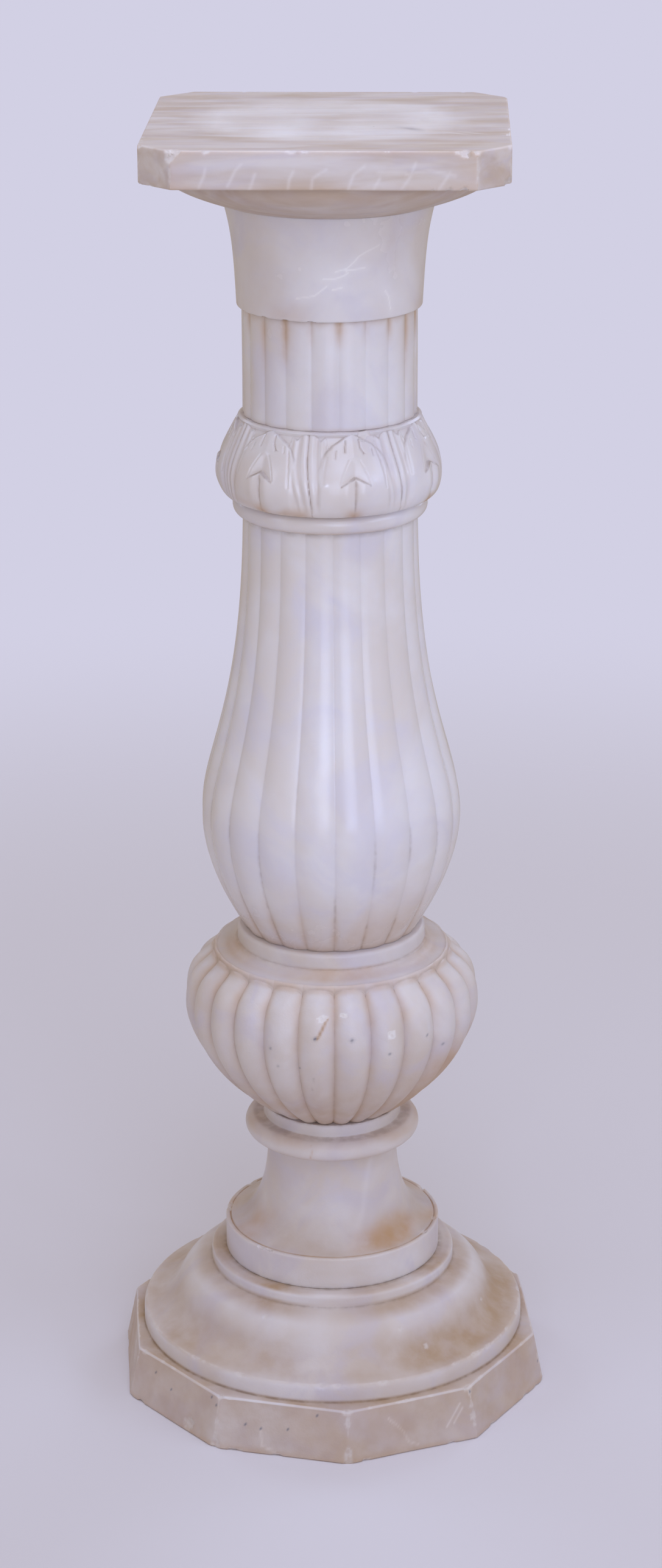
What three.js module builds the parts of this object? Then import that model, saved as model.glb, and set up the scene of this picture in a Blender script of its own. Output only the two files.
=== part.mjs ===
import * as THREE from "three";

// A carved alabaster pedestal: eight turned pieces stacked on one axis.
// Lengths are millimetres and angles are degrees. Radius is measured from the axis and height from the floor.
// A turn of 0 faces the front (-Y), and positive turns go to the right (+X).

// Joint planes between the pieces
const FLOOR = 0;
const BASE_TOP = 111;
const STEM_TOP = 244;
const BOWL_TOP = 404;
const SHAFT_TOP = 752;
const COLLAR_TOP = 833;
const NECK_TOP = 918.5;
const BELL_TOP = 1000;
const COLUMN_TOP = 1060;

// Vertices around each turned piece
const ROUND_COLUMNS = 36;
const COLUMNS_PER_REED = 4;
const COLUMNS_PER_GADROON = 3;

// Moulded base: a ten-sided plinth, a lip, an ogee and a ring
const PLINTH_SIDES = 10;
const PLINTH_FIRST_CORNER = 3.94;
const PLINTH_COLUMNS = 40;
const PLINTH_HEIGHT = 44;
const PLINTH_FOOT_RADIUS = 184.3;
const PLINTH_TOP_RADIUS = 175.5;
const PLINTH_WORN_EDGE = 2.4;
const LIP_RADIUS = 160.5;
const LIP_BAND = 9;
const LIP_ARRIS_RADIUS = 158;
const LIP_ARRIS_HEIGHT = 60;
const OGEE_HOLLOW_HANDLES = [at(146, 62), at(136, 67)];
const OGEE_MIDDLE = at(131, 77);
const OGEE_SWELL_HANDLES = [at(126, 88), at(117, 97)];
const OGEE_TOP = at(103, 99.5);
const BASE_RING_RADIUS = 102;
const BASE_RING_FOOT = 101;
const BASE_RING_ROUNDING = 3.5;

// Turned stem: a foot disc, a hollow neck, a torus and a fillet
const DISC_RADIUS = 90;
const DISC_HEIGHT = 138.4;
const DISC_WORN_EDGE = 1.6;
const HOLLOW_FOOT_RADIUS = 85.5;
const HOLLOW_HANDLES = [at(66, 141), at(53.7, 166)];
const STEM_NECK_RADIUS = 53.7;
const STEM_NECK_HEIGHT = 211;
const TORUS_CENTRE_RADIUS = 63.9;
const TORUS_CENTRE_HEIGHT = 224.5;
const TORUS_SECTION_RADIUS = 8.5;
const TORUS_UNDERSIDE_ANGLE = -140;
const FILLET_RADIUS = 57;

// Gadrooned bowl: convex lobes below a lip, a hollow moulding and a collar ring
const GADROONS = 24;
const GADROON_VALLEY_TURN = 1.1;
const GADROON_DEPTH_SHARE = 0.04;
const GADROON_ARCH = 4.5;
const BOWL_FOOT_RADIUS = 55;
const BOWL_LOWER_HANDLES = [at(111, 281), at(121.1, 323)];
const BOWL_BELLY = at(121.1, 337);
const BOWL_UPPER_HANDLES = [at(121.1, 373), at(104, 369.5)];
const BOWL_SHOULDER = at(98.5, 381.5);
const BOWL_LIP = at(96, 384.6);
const BOWL_HOLLOW = at(83, 387.5);
const BOWL_RING_RADIUS = 77;
const BOWL_RING_FOOT = 392;
const BOWL_RING_ROUNDING = 3;

// Pear shaft
const SHAFT_REEDS = 20;
const SHAFT_VALLEY_TURN = 1.8;
const SHAFT_REED_DEPTH_SHARE = 0.027;
const SHAFT_FOOT_RADIUS = 71.5;
const SHAFT_LOWER_HANDLES = [at(90, 434), at(105.4, 470)];
const SHAFT_BELLY = at(105.4, 502);
const SHAFT_UPPER_HANDLES = [at(105.4, 554), at(71.3, 584)];
const SHAFT_TOP_RADIUS = 69.4;

// Leaf collar: a bead, then broad leaves with narrow ribbed leaves between them
const LEAVES = 7;
const LEAF_TURN = 12.8;
const BEAD_RADIUS = 77;
const BEAD_HEIGHT = 760;
const BEAD_SECTION_RADIUS = 8;
const BEAD_TOP_ANGLE = 60;
const LEAF_FOOT = at(79, 768);
const LEAF_LOWER_HANDLES = [at(85, 769), at(89.5, 778)];
const LEAF_BULGE = at(89.5, 788);
const LEAF_UPPER_HANDLES = [at(89.5, 803), at(79, 816)];
const LEAF_TIP = at(72, 831.5);
const LEAF_UPPER_RINGS = [0.285, 0.335, 0.52, 0.72, 0.88, 1];
const LEAF_HALF_WIDTH = 19;
const LEAF_TAPER_HEIGHT = 806;
const LEAF_SWELL_HEIGHT = 14;
const LEDGE_HEIGHT = 801;
const LEDGE_DEPTH = 4.8;
const LEDGE_HALF_WIDTH = 8.5;
const WAIST_HALF_WIDTH = 2.5;
const LOBE_TURN = 9;
const LOBE_GROOVE_DEPTH = 2.6;
const LOBE_GROOVE_RUN_OUT = 10;
const LEAF_EDGE_DROP = 1;
const LEAF_EDGE_STEP = 1.4;
const GAP_DEPTH = 4.4;
const RIB_DEPTH = 1.8;
const RIB_TURN = 2.4;
const RIB_GROOVE_DEPTH = 3.4;
const COLLAR_RIM_RADIUS = 69.6;

// Reeded neck
const NECK_REEDS = 20;
const NECK_VALLEY_TURN = 6;
const NECK_RADIUS = 68.4;
const NECK_REED_DEPTH = 1.5;

// Capital bell
const BELL_FOOT_RADIUS = 72.3;
const BELL_FOOT_ROUNDING = 1.8;
const BELL_HANDLES = [at(74.3, 955), at(75, 975)];
const BELL_TOP_RADIUS = 82;

// Top slab and the dish under it
const SLAB_SIDE = 275;
const SLAB_THICKNESS = 29;
const SLAB_CORNER_CUT = 25.5;
const SLAB_TURN = -1.73;
const SLAB_WORN_EDGE = 1.4;
const SLAB_COLUMNS_PER_QUARTER = 9;
const DISH_FOOT_RADIUS = 84;
const DISH_HANDLES = [at(122, 1012), at(132, 1018)];
const DISH_TOP_RADIUS = 132;

const { clamp, degToRad, lerp, radToDeg, smoothstep } = THREE.MathUtils;

// A profile point
function at(radius, height) {
  return new THREE.Vector2(radius, height);
}

// A smooth stretch of profile, from the first point to the last with two handles between them
function sweep(steps, start, handles, end) {
  return new THREE.CubicBezierCurve(start, ...handles, end).getPoints(steps);
}

// A round stretch of profile, with 0 degrees pointing out from the axis and 90 degrees up
function arc(steps, centre, radius, from, to) {
  const points = [];
  for (let i = 0; i <= steps; i += 1) {
    const angle = degToRad(lerp(from, to, i / steps));
    points.push(at(centre.x + radius * Math.cos(angle), centre.y + radius * Math.sin(angle)));
  }
  return points;
}

// Closes a profile on the axis at its foot and its top.
function onAxis(profile) {
  const foot = profile[0];
  const top = profile[profile.length - 1];
  return [at(0, foot.y), ...profile, at(0, top.y)];
}

// A closed solid turned from a profile. carve moves each vertex: it is given the profile point, the number
// of the column around the axis and that of the ring, and returns a radius, a height and a turn.
function turned(profile, columns, carve) {
  const rings = onAxis(profile);
  const geometry = new THREE.LatheGeometry(rings, columns);
  const position = geometry.getAttribute("position");
  for (let i = 0; i < position.count; i += 1) {
    const ring = i % rings.length;
    const column = Math.floor(i / rings.length) % columns;
    const { radius, height, turn } = carve(rings[ring], column, ring);
    const angle = degToRad(turn);
    position.setXYZ(i, radius * Math.sin(angle), height, radius * Math.cos(angle));
  }
  geometry.rotateX(Math.PI / 2);
  geometry.computeVertexNormals();
  return geometry;
}

// Plain turning, with the columns evenly spaced
const plain = (columns) => (point, column) => ({
  radius: point.x,
  height: point.y,
  turn: (360 * column) / columns,
});

// How far a vertex is cut below a convex lobe's crest, from 0 on the crest to 1 in the valley
function lobeCut(column, columnsPerLobe) {
  const across = (2 * (column % columnsPerLobe)) / columnsPerLobe - 1;
  return across * across;
}

function alabaster(color, roughness) {
  return new THREE.MeshStandardMaterial({ color, roughness, metalness: 0 });
}

function piece(name, geometry, material) {
  const mesh = new THREE.Mesh(geometry, material);
  mesh.name = name;
  return mesh;
}

function mouldedBase() {
  const plinth = [
    at(PLINTH_FOOT_RADIUS, FLOOR),
    at(PLINTH_TOP_RADIUS, PLINTH_HEIGHT - PLINTH_WORN_EDGE),
    at(PLINTH_TOP_RADIUS - PLINTH_WORN_EDGE, PLINTH_HEIGHT),
  ];
  const lipArris = at(LIP_ARRIS_RADIUS, LIP_ARRIS_HEIGHT);
  const profile = [
    ...plinth,
    at(LIP_RADIUS, PLINTH_HEIGHT),
    at(LIP_RADIUS, PLINTH_HEIGHT + LIP_BAND),
    ...sweep(3, lipArris, OGEE_HOLLOW_HANDLES, OGEE_MIDDLE),
    ...sweep(3, OGEE_MIDDLE, OGEE_SWELL_HANDLES, OGEE_TOP).slice(1),
    at(BASE_RING_RADIUS, BASE_RING_FOOT),
    at(BASE_RING_RADIUS, BASE_TOP - BASE_RING_ROUNDING),
    at(BASE_RING_RADIUS - BASE_RING_ROUNDING, BASE_TOP),
  ];
  const step = 360 / PLINTH_SIDES;
  const carve = (point, column, ring) => {
    const turn = PLINTH_FIRST_CORNER + (360 * column) / PLINTH_COLUMNS;
    const fromMiddle = ((turn - PLINTH_FIRST_CORNER) % step) - step / 2;
    const onPlinth = ring >= 1 && ring <= plinth.length;
    const flat = onPlinth ? Math.cos(degToRad(step / 2)) / Math.cos(degToRad(fromMiddle)) : 1;
    return { radius: point.x * flat, height: point.y, turn };
  };
  return turned(profile, PLINTH_COLUMNS, carve);
}

function turnedStem() {
  const hollowFoot = at(HOLLOW_FOOT_RADIUS, DISC_HEIGHT);
  const hollowTop = at(STEM_NECK_RADIUS, STEM_NECK_HEIGHT);
  const torusCentre = at(TORUS_CENTRE_RADIUS, TORUS_CENTRE_HEIGHT);
  const profile = [
    at(DISC_RADIUS, BASE_TOP),
    at(DISC_RADIUS, DISC_HEIGHT - DISC_WORN_EDGE),
    at(DISC_RADIUS - DISC_WORN_EDGE, DISC_HEIGHT),
    ...sweep(4, hollowFoot, HOLLOW_HANDLES, hollowTop),
    ...arc(5, torusCentre, TORUS_SECTION_RADIUS, TORUS_UNDERSIDE_ANGLE, 90),
    at(FILLET_RADIUS, TORUS_CENTRE_HEIGHT + TORUS_SECTION_RADIUS),
    at(FILLET_RADIUS, STEM_TOP),
  ];
  return turned(profile, ROUND_COLUMNS, plain(ROUND_COLUMNS));
}

function gadroonedBowl() {
  const columns = GADROONS * COLUMNS_PER_GADROON;
  const lobes = [
    ...sweep(5, at(BOWL_FOOT_RADIUS, STEM_TOP), BOWL_LOWER_HANDLES, BOWL_BELLY),
    ...sweep(4, BOWL_BELLY, BOWL_UPPER_HANDLES, BOWL_SHOULDER).slice(1),
  ];
  const profile = [
    ...lobes,
    BOWL_LIP,
    BOWL_HOLLOW,
    at(BOWL_RING_RADIUS, BOWL_RING_FOOT),
    at(BOWL_RING_RADIUS, BOWL_TOP - BOWL_RING_ROUNDING),
    at(BOWL_RING_RADIUS - BOWL_RING_ROUNDING, BOWL_TOP),
  ];
  const carve = (point, column, ring) => {
    const cut = ring >= 1 && ring <= lobes.length ? lobeCut(column, COLUMNS_PER_GADROON) : 0;
    const arch = ring === lobes.length ? GADROON_ARCH : 0;
    return {
      radius: point.x * (1 - GADROON_DEPTH_SHARE * cut),
      height: point.y - arch * cut,
      turn: GADROON_VALLEY_TURN + (360 * column) / columns,
    };
  };
  return turned(profile, columns, carve);
}

function pearShaft() {
  const columns = SHAFT_REEDS * COLUMNS_PER_REED;
  const profile = [
    ...sweep(4, at(SHAFT_FOOT_RADIUS, BOWL_TOP), SHAFT_LOWER_HANDLES, SHAFT_BELLY),
    ...sweep(6, SHAFT_BELLY, SHAFT_UPPER_HANDLES, at(SHAFT_TOP_RADIUS, SHAFT_TOP)).slice(1),
  ];
  const carve = (point, column) => ({
    radius: point.x * (1 - SHAFT_REED_DEPTH_SHARE * lobeCut(column, COLUMNS_PER_REED)),
    height: point.y,
    turn: SHAFT_VALLEY_TURN + (360 * column) / columns,
  });
  return turned(profile, columns, carve);
}

// Half the width of a broad leaf: full up to its shoulders, then drawn in to a rounded point
function leafHalfWidth(height) {
  const rise = clamp((height - LEAF_TAPER_HEIGHT) / (LEAF_TIP.y - LEAF_TAPER_HEIGHT), 0, 0.97);
  return LEAF_HALF_WIDTH * Math.sqrt(1 - rise * rise);
}

// The cut down the middle of a broad leaf: a groove between its two lobes, and above the ledge that tops
// them a hollow face that runs out at the leaf's tip
function leafMiddle(height) {
  if (height < LEDGE_HEIGHT) {
    const depth = LOBE_GROOVE_DEPTH * clamp((LEDGE_HEIGHT - height) / LOBE_GROOVE_RUN_OUT, 0, 1);
    return { depth, halfWidth: LOBE_TURN };
  }
  const rise = clamp((height - LEDGE_HEIGHT) / (LEAF_TIP.y - LEDGE_HEIGHT), 0, 1);
  const halfWidth = Math.max(lerp(LEDGE_HALF_WIDTH, WAIST_HALF_WIDTH, 2 * rise), WAIST_HALF_WIDTH);
  return { depth: LEDGE_DEPTH * (1 - rise), halfWidth };
}

// The turns and depths of cut across one broad leaf and the ribbed leaf to its right, at one height
function leafSection(height) {
  const middle = leafMiddle(height);
  const edge = leafHalfWidth(height);
  const nextLeaf = 180 / LEAVES;
  const swell = smoothstep(height, LEAF_FOOT.y, LEAF_FOOT.y + LEAF_SWELL_HEIGHT);
  const relief = swell * (1 - smoothstep(height, LEDGE_HEIGHT, COLLAR_TOP));
  const right = [
    { turn: Math.min(middle.halfWidth, 0.6 * edge), cut: 0 },
    { turn: edge, cut: LEAF_EDGE_DROP * relief },
    { turn: edge + LEAF_EDGE_STEP, cut: GAP_DEPTH * relief },
    { turn: nextLeaf - RIB_TURN, cut: RIB_DEPTH * relief },
  ];
  const left = right.map(({ turn, cut }) => ({ turn: -turn, cut })).reverse();
  return [
    ...left,
    { turn: 0, cut: middle.depth * swell },
    ...right,
    { turn: nextLeaf, cut: RIB_GROOVE_DEPTH * relief },
  ];
}

function leafCollar() {
  const beadCentre = at(BEAD_RADIUS - BEAD_SECTION_RADIUS, BEAD_HEIGHT);
  const bead = arc(3, beadCentre, BEAD_SECTION_RADIUS, -90, BEAD_TOP_ANGLE);
  const upper = new THREE.CubicBezierCurve(LEAF_BULGE, ...LEAF_UPPER_HANDLES, LEAF_TIP);
  const profile = [
    ...bead,
    ...sweep(3, LEAF_FOOT, LEAF_LOWER_HANDLES, LEAF_BULGE),
    ...LEAF_UPPER_RINGS.map((share) => upper.getPoint(share)),
    at(COLLAR_RIM_RADIUS, COLLAR_TOP),
  ];
  const perLeaf = leafSection(LEAF_FOOT.y).length;
  const columns = LEAVES * perLeaf;
  const carve = (point, column, ring) => {
    const leafTurn = LEAF_TURN + (360 / LEAVES) * Math.floor(column / perLeaf);
    const spot = leafSection(Math.max(point.y, LEAF_FOOT.y))[column % perLeaf];
    const onLeaves = ring > bead.length && point.x > 0;
    return {
      radius: onLeaves ? point.x - spot.cut : point.x,
      height: point.y,
      turn: leafTurn + spot.turn,
    };
  };
  return turned(profile, columns, carve);
}

function reededNeck() {
  const columns = NECK_REEDS * COLUMNS_PER_REED;
  const profile = [at(NECK_RADIUS, COLLAR_TOP), at(NECK_RADIUS, NECK_TOP)];
  const carve = (point, column) => ({
    radius: point.x > 0 ? point.x - NECK_REED_DEPTH * lobeCut(column, COLUMNS_PER_REED) : 0,
    height: point.y,
    turn: NECK_VALLEY_TURN + (360 * column) / columns,
  });
  return turned(profile, columns, carve);
}

function capitalBell() {
  const foot = at(BELL_FOOT_RADIUS, NECK_TOP + BELL_FOOT_ROUNDING);
  const profile = [
    at(BELL_FOOT_RADIUS - BELL_FOOT_ROUNDING, NECK_TOP),
    ...sweep(6, foot, BELL_HANDLES, at(BELL_TOP_RADIUS, BELL_TOP)),
  ];
  return turned(profile, ROUND_COLUMNS, plain(ROUND_COLUMNS));
}

// The slab's outline: a square with its corners cut off, at a turn from the middle of one side
function slabRadius(turn, inset) {
  const half = SLAB_SIDE / 2 - inset;
  const across = Math.abs(Math.cos(degToRad(turn)));
  const along = Math.abs(Math.sin(degToRad(turn)));
  const toSide = half / Math.max(across, along);
  const toCut = (SLAB_SIDE - SLAB_CORNER_CUT - Math.SQRT2 * inset) / (across + along);
  return Math.min(toSide, toCut);
}

// The turns of the slab's columns in one quarter, with a column on each corner
function slabTurns() {
  const half = SLAB_SIDE / 2;
  const corner = radToDeg(Math.atan2(half - SLAB_CORNER_CUT, half));
  const perSide = SLAB_COLUMNS_PER_QUARTER - 1;
  const turns = [];
  for (let i = 0; i <= perSide; i += 1) {
    turns.push(corner * ((2 * i) / perSide - 1));
  }
  return turns;
}

function topSlab() {
  const underside = COLUMN_TOP - SLAB_THICKNESS;
  const dishFoot = at(DISH_FOOT_RADIUS, BELL_TOP);
  const dish = sweep(4, dishFoot, DISH_HANDLES, at(DISH_TOP_RADIUS, underside));
  const inset = SLAB_WORN_EDGE;
  const rims = [
    { inset, height: underside },
    { inset: 0, height: underside + inset },
    { inset: 0, height: COLUMN_TOP - inset },
    { inset, height: COLUMN_TOP },
  ];
  const profile = [...dish, ...rims.map((rim) => at(SLAB_SIDE / 2 - rim.inset, rim.height))];
  const turns = slabTurns();
  const columns = 4 * turns.length;
  const firstRim = dish.length + 1;
  const carve = (point, column, ring) => {
    const turn = turns[column % turns.length];
    const rim = rims[ring - firstRim];
    return {
      radius: rim ? slabRadius(turn, rim.inset) : point.x,
      height: point.y,
      turn: turn + 90 * Math.floor(column / turns.length) + SLAB_TURN,
    };
  };
  return turned(profile, columns, carve);
}

const column = new THREE.Group();
column.add(
  piece("moulded_base", mouldedBase(), alabaster(0xb9aca2, 0.55)),
  piece("turned_stem", turnedStem(), alabaster(0xc4b9b2, 0.45)),
  piece("gadrooned_bowl", gadroonedBowl(), alabaster(0xc9beba, 0.45)),
  piece("pear_shaft", pearShaft(), alabaster(0xc8bdbb, 0.35)),
  piece("leaf_collar", leafCollar(), alabaster(0xcdc3c4, 0.25)),
  piece("reeded_neck", reededNeck(), alabaster(0xc6bbba, 0.4)),
  piece("capital_bell", capitalBell(), alabaster(0xcac2c4, 0.35)),
  piece("top_slab", topSlab(), alabaster(0xbfb5b3, 0.4)),
);

export default column;
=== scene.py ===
"""A carved alabaster pedestal column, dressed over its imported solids.

In the tables and the shaping code, lengths are millimetres and angles are degrees. Radius is measured from
the column's axis and height from the floor. A turn of 0 faces the front (-Y), and positive turns go to the
right (+X). The properties that a user sees are in Blender's own units.
"""

import math

import bpy
import numpy as np
from bpy.props import FloatProperty, FloatVectorProperty, IntProperty, PointerProperty
from mathutils import Matrix, Vector


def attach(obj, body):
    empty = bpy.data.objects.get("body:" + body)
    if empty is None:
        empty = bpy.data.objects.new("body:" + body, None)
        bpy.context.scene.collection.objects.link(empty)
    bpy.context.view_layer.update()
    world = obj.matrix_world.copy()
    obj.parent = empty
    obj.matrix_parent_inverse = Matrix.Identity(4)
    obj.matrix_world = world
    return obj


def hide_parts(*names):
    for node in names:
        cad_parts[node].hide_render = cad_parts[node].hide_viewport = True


bl_info = {
    "name": "Alabaster pedestal column",
    "version": (1, 0, 0),
    "blender": (4, 5, 0),
    "location": "3D View > Sidebar > Pedestal",
    "description": "Builds a carved alabaster pedestal piece by piece over its packed frame",
    "category": "Add Mesh",
}

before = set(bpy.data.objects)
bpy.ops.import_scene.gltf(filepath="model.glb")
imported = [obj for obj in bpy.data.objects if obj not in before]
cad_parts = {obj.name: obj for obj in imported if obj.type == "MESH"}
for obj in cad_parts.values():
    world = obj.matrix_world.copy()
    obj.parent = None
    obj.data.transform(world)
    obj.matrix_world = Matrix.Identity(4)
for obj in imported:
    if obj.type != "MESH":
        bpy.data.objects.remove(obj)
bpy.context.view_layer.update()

# Joint planes between the stacked pieces
BASE_TOP = 111
STEM_TOP = 244
BOWL_TOP = 404
SHAFT_TOP = 752
COLLAR_TOP = 833
NECK_TOP = 918.5
BELL_TOP = 1000
COLUMN_TOP = 1060

# Edges that turn by more than this stay crisp
CRISP_EDGE = 38

# What each point of the stone carries besides its shape, from 0 for none to 1. The dust mark is partly
# painted shade and the vein mark partly a painted glow
MARKS = ("grime", "stain", "dust", "bruise", "vein", "spot")


def linear(code):
    """An sRGB hex colour as linear red, green and blue."""
    shares = [int(code[i : i + 2], 16) / 255 for i in (1, 3, 5)]
    return [s / 12.92 if s <= 0.04045 else ((s + 0.055) / 1.055) ** 2.4 for s in shares]


def tint(name, description, code):
    """A colour that a user can change."""
    return FloatVectorProperty(
        name=name, description=description, default=linear(code), subtype="COLOR", size=3, min=0, max=1
    )


def length(name, description, millimetres):
    """A length that a user can change."""
    return FloatProperty(
        name=name, description=description, default=millimetres / 1000, unit="LENGTH", min=0, precision=4
    )


def turn_of(name, description, degrees):
    """An angle that a user can change."""
    return FloatProperty(name=name, description=description, default=math.radians(degrees), subtype="ANGLE")


class CapitalSizes(bpy.types.PropertyGroup):
    slab_side: length("Slab side", "Width of the square top", 275)
    slab_thickness: length("Slab thickness", "Height of the slab's edge", 29)
    slab_corner_cut: length("Corner cut", "How far each corner of the slab is cut off along its sides", 25.5)
    slab_turn: turn_of("Slab turn", "How far the slab is set askew on the column", -1.73)
    dish_radius: length("Dish radius", "Radius of the dish where it meets the slab", 132)
    bell_foot: length("Bell foot", "Radius of the bell's foot", 72.3)
    bell_top: length("Bell top", "Radius of the bell under the dish", 82)
    neck_radius: length("Neck radius", "Radius over the neck's reeds", 68.4)
    neck_reeds: IntProperty(name="Neck reeds", description="Reeds around the neck", default=20, min=3)
    neck_valley: turn_of("Neck valley", "Turn of the first valley between reeds", 6)
    neck_depth: length("Reed depth", "Depth of the valleys between the neck's reeds", 1.5)


class ShaftSizes(bpy.types.PropertyGroup):
    leaves: IntProperty(name="Leaves", description="Broad leaves around the collar", default=7, min=3)
    leaf_turn: turn_of("Leaf turn", "Turn of the first broad leaf", 12.8)
    ledge_depth: length("Ledge depth", "Depth of the hollow face above a leaf's two lobes", 2.6)
    groove_depth: length("Lobe groove", "Depth of the groove between a leaf's two lobes", 1.7)
    bead_radius: length("Bead radius", "Radius of the bead under the leaves", 77)
    reeds: IntProperty(name="Shaft reeds", description="Reeds around the pear shaft", default=20, min=3)
    valley: turn_of("Shaft valley", "Turn of the first valley between reeds", 1.8)
    reed_share: FloatProperty(
        name="Reed depth", description="Depth of the valleys as a share of the radius", default=0.027, min=0
    )


class FootSizes(bpy.types.PropertyGroup):
    gadroons: IntProperty(name="Gadroons", description="Lobes around the bowl", default=24, min=3)
    gadroon_valley: turn_of("Gadroon valley", "Turn of the first valley between gadroons", 1.1)
    gadroon_share: FloatProperty(
        name="Gadroon depth",
        description="Depth of the valleys as a share of the radius",
        default=0.058,
        min=0,
    )
    gadroon_arch: length("Gadroon arch", "Rise of each gadroon's rounded top", 7)
    stem_neck: length("Stem neck", "Radius of the stem at its narrowest", 53.7)
    disc_radius: length("Disc radius", "Radius of the stem's foot disc", 90)
    plinth_sides: IntProperty(name="Plinth sides", description="Sides of the plinth", default=10, min=3)
    plinth_corner: turn_of("Plinth corner", "Turn of the plinth's first corner", 3.94)
    plinth_height: length("Plinth height", "Height of the plinth's sides", 44)
    plinth_foot: length("Plinth foot", "Radius to the plinth's corners on the floor", 184.3)
    plinth_top: length("Plinth top", "Radius to the plinth's corners at its top edge", 175.5)
    lip_radius: length("Lip radius", "Radius of the lip above the plinth", 160.5)


class StoneFinish(bpy.types.PropertyGroup):
    pale: tint("Pale stone", "Clean alabaster", "#EDEAEC")
    warm: tint("Warm stone", "Cream clouds in the alabaster", "#E1D7CE")
    cool: tint("Cool stone", "Translucent lilac-grey clouds", "#DEDAE5")
    # The vein colour is also a painted glow in the middle of the slab's top
    vein: tint("Vein", "White veins and cracks", "#FCFAFA")
    grime: tint("Grime", "Brown dirt held in cuts and joints", "#7D5F42")
    stain: tint("Stain", "Ochre stain soaked into the stone", "#C69D6E")
    # The dust colour is also painted shade under the slab's dish, under the pear's belly and the bowl, and on
    # the plinth's sides
    dust: tint("Dust", "Tan dust on ledges", "#B4946E")
    bruise: tint("Bruise", "Paler stone where an edge is chipped", "#E6DFD9")
    spot: tint("Spot", "Grey-blue spots", "#5B5F72")
    translucency: FloatProperty(
        name="Translucency", description="Share of light that enters the stone", default=0.3, min=0, max=1
    )


class StudioSettings(bpy.types.PropertyGroup):
    lens: FloatProperty(name="Lens", description="Focal length", default=82.59, unit="CAMERA")
    distance: length("Distance", "Camera's distance in front of the axis", 2750)
    eye_height: length("Eye height", "Camera's height above the floor", 1509.5)
    pitch: turn_of("Pitch", "How far the camera looks down", 19.742)
    roll: turn_of("Roll", "How far the camera is tilted", -0.178)
    floor: tint("Floor", "Plain floor", "#EAE7EB")
    backdrop: tint("Backdrop", "Surround behind the column, as the camera sees it", "#D2D0E4")
    air: tint("Air", "Light from all round", "#FFEEDF")
    air_strength: FloatProperty(
        name="Air strength", description="Strength of the light from all round", default=0.4, min=0
    )


# Shaping


def sweep(steps, start, handles, end):
    """A smooth stretch of profile, from start to end with two handles between them."""
    t = np.linspace(0, 1, steps + 1)[:, None]
    a, b, c, d = (np.array(p, float) for p in (start, *handles, end))
    return (1 - t) ** 3 * a + 3 * (1 - t) ** 2 * t * b + 3 * (1 - t) * t**2 * c + t**3 * d


def arc(steps, centre, radius, start, end):
    """A round stretch of profile, with 0 degrees pointing out from the axis and 90 degrees up."""
    angle = np.radians(np.linspace(start, end, steps + 1))
    return np.column_stack([centre[0] + radius * np.cos(angle), centre[1] + radius * np.sin(angle)])


def straight(steps, start, end):
    """A straight stretch of profile."""
    return np.linspace(start, end, steps + 1).astype(float)


def joined(*stretches):
    """One profile from several stretches, without doubled points."""
    points = np.vstack(stretches)
    step = np.linalg.norm(np.diff(points, axis=0), axis=1)
    return points[np.concatenate([[True], step > 0.01])]


def smooth(value, low, high):
    """0 below low, 1 above high and an even rise between them."""
    share = np.clip((value - low) / (high - low), 0, 1)
    return share * share * (3 - 2 * share)


def wrapped(turn, step):
    """A turn measured from the nearest multiple of step."""
    return (turn + step / 2) % step - step / 2


def drift(points, size, seed):
    """Smooth unevenness of about -1 to 1 over the points, with swells about size millimetres wide."""
    rng = np.random.default_rng(seed)
    total = np.zeros(points.shape[:-1])
    for _ in range(12):
        direction = rng.normal(size=3)
        direction *= 2 * math.pi / (size * rng.uniform(1.2, 2.6) * np.linalg.norm(direction))
        total += np.sin(points @ direction + rng.uniform(0, 2 * math.pi))
    return total / 4


def lobe_turns(count, first, shares):
    """Turns of the columns over a ring of lobes, from their places across one lobe, valley to valley."""
    step = 360 / count
    return (first + step * (np.arange(count)[:, None] + np.array(shares)[None, :])).ravel()


# Columns crowd towards the valleys, so that each valley is a crisp line.
REED_SHARES = (0, 0.022, 0.06, 0.12, 0.2, 0.3, 0.4, 0.5, 0.6, 0.7, 0.8, 0.88, 0.94, 0.978)
GADROON_SHARES = (
    *(0, 0.018, 0.045, 0.085, 0.135, 0.19, 0.25, 0.31, 0.375, 0.44),
    *(0.5, 0.56, 0.625, 0.69, 0.75, 0.81, 0.865, 0.915, 0.955, 0.982),
)


class Turning:
    """A turned form as a grid: a row for each ring from the foot up, a column for each turn."""

    def __init__(self, profile, turns):
        self.radius, self.turn = np.meshgrid(profile[:, 0], turns, indexing="ij")
        self.height = np.repeat(profile[:, 1:], len(turns), axis=1)
        self.marks = {name: np.zeros(self.radius.shape) for name in MARKS}

    def points(self):
        """Each grid point's place."""
        angle = np.radians(self.turn)
        return np.stack([self.radius * np.sin(angle), -self.radius * np.cos(angle), self.height], axis=-1)

    def mark(self, name, strength):
        """Raises a mark to a strength where that is above what is there."""
        self.marks[name] = np.maximum(self.marks[name], np.clip(strength, 0, 1))

    def hollows(self, reach, depth):
        """How deep each point lies below the mean of its surroundings, as a share of depth."""
        mean = self.radius
        for axis, pad in ((0, "edge"), (1, "wrap")):
            width = [(reach, reach) if axis == a else (0, 0) for a in (0, 1)]
            total = np.cumsum(np.pad(mean, width, mode=pad), axis=axis)
            zero = np.zeros_like(np.take(total, [0], axis=axis))
            total = np.concatenate([zero, total], axis=axis)
            span = 2 * reach + 1
            count = mean.shape[axis]
            upper = np.take(total, np.arange(span, span + count), axis=axis)
            lower = np.take(total, np.arange(count), axis=axis)
            mean = (upper - lower) / span
        return np.clip((mean - self.radius) / depth, 0, 1)


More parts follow.
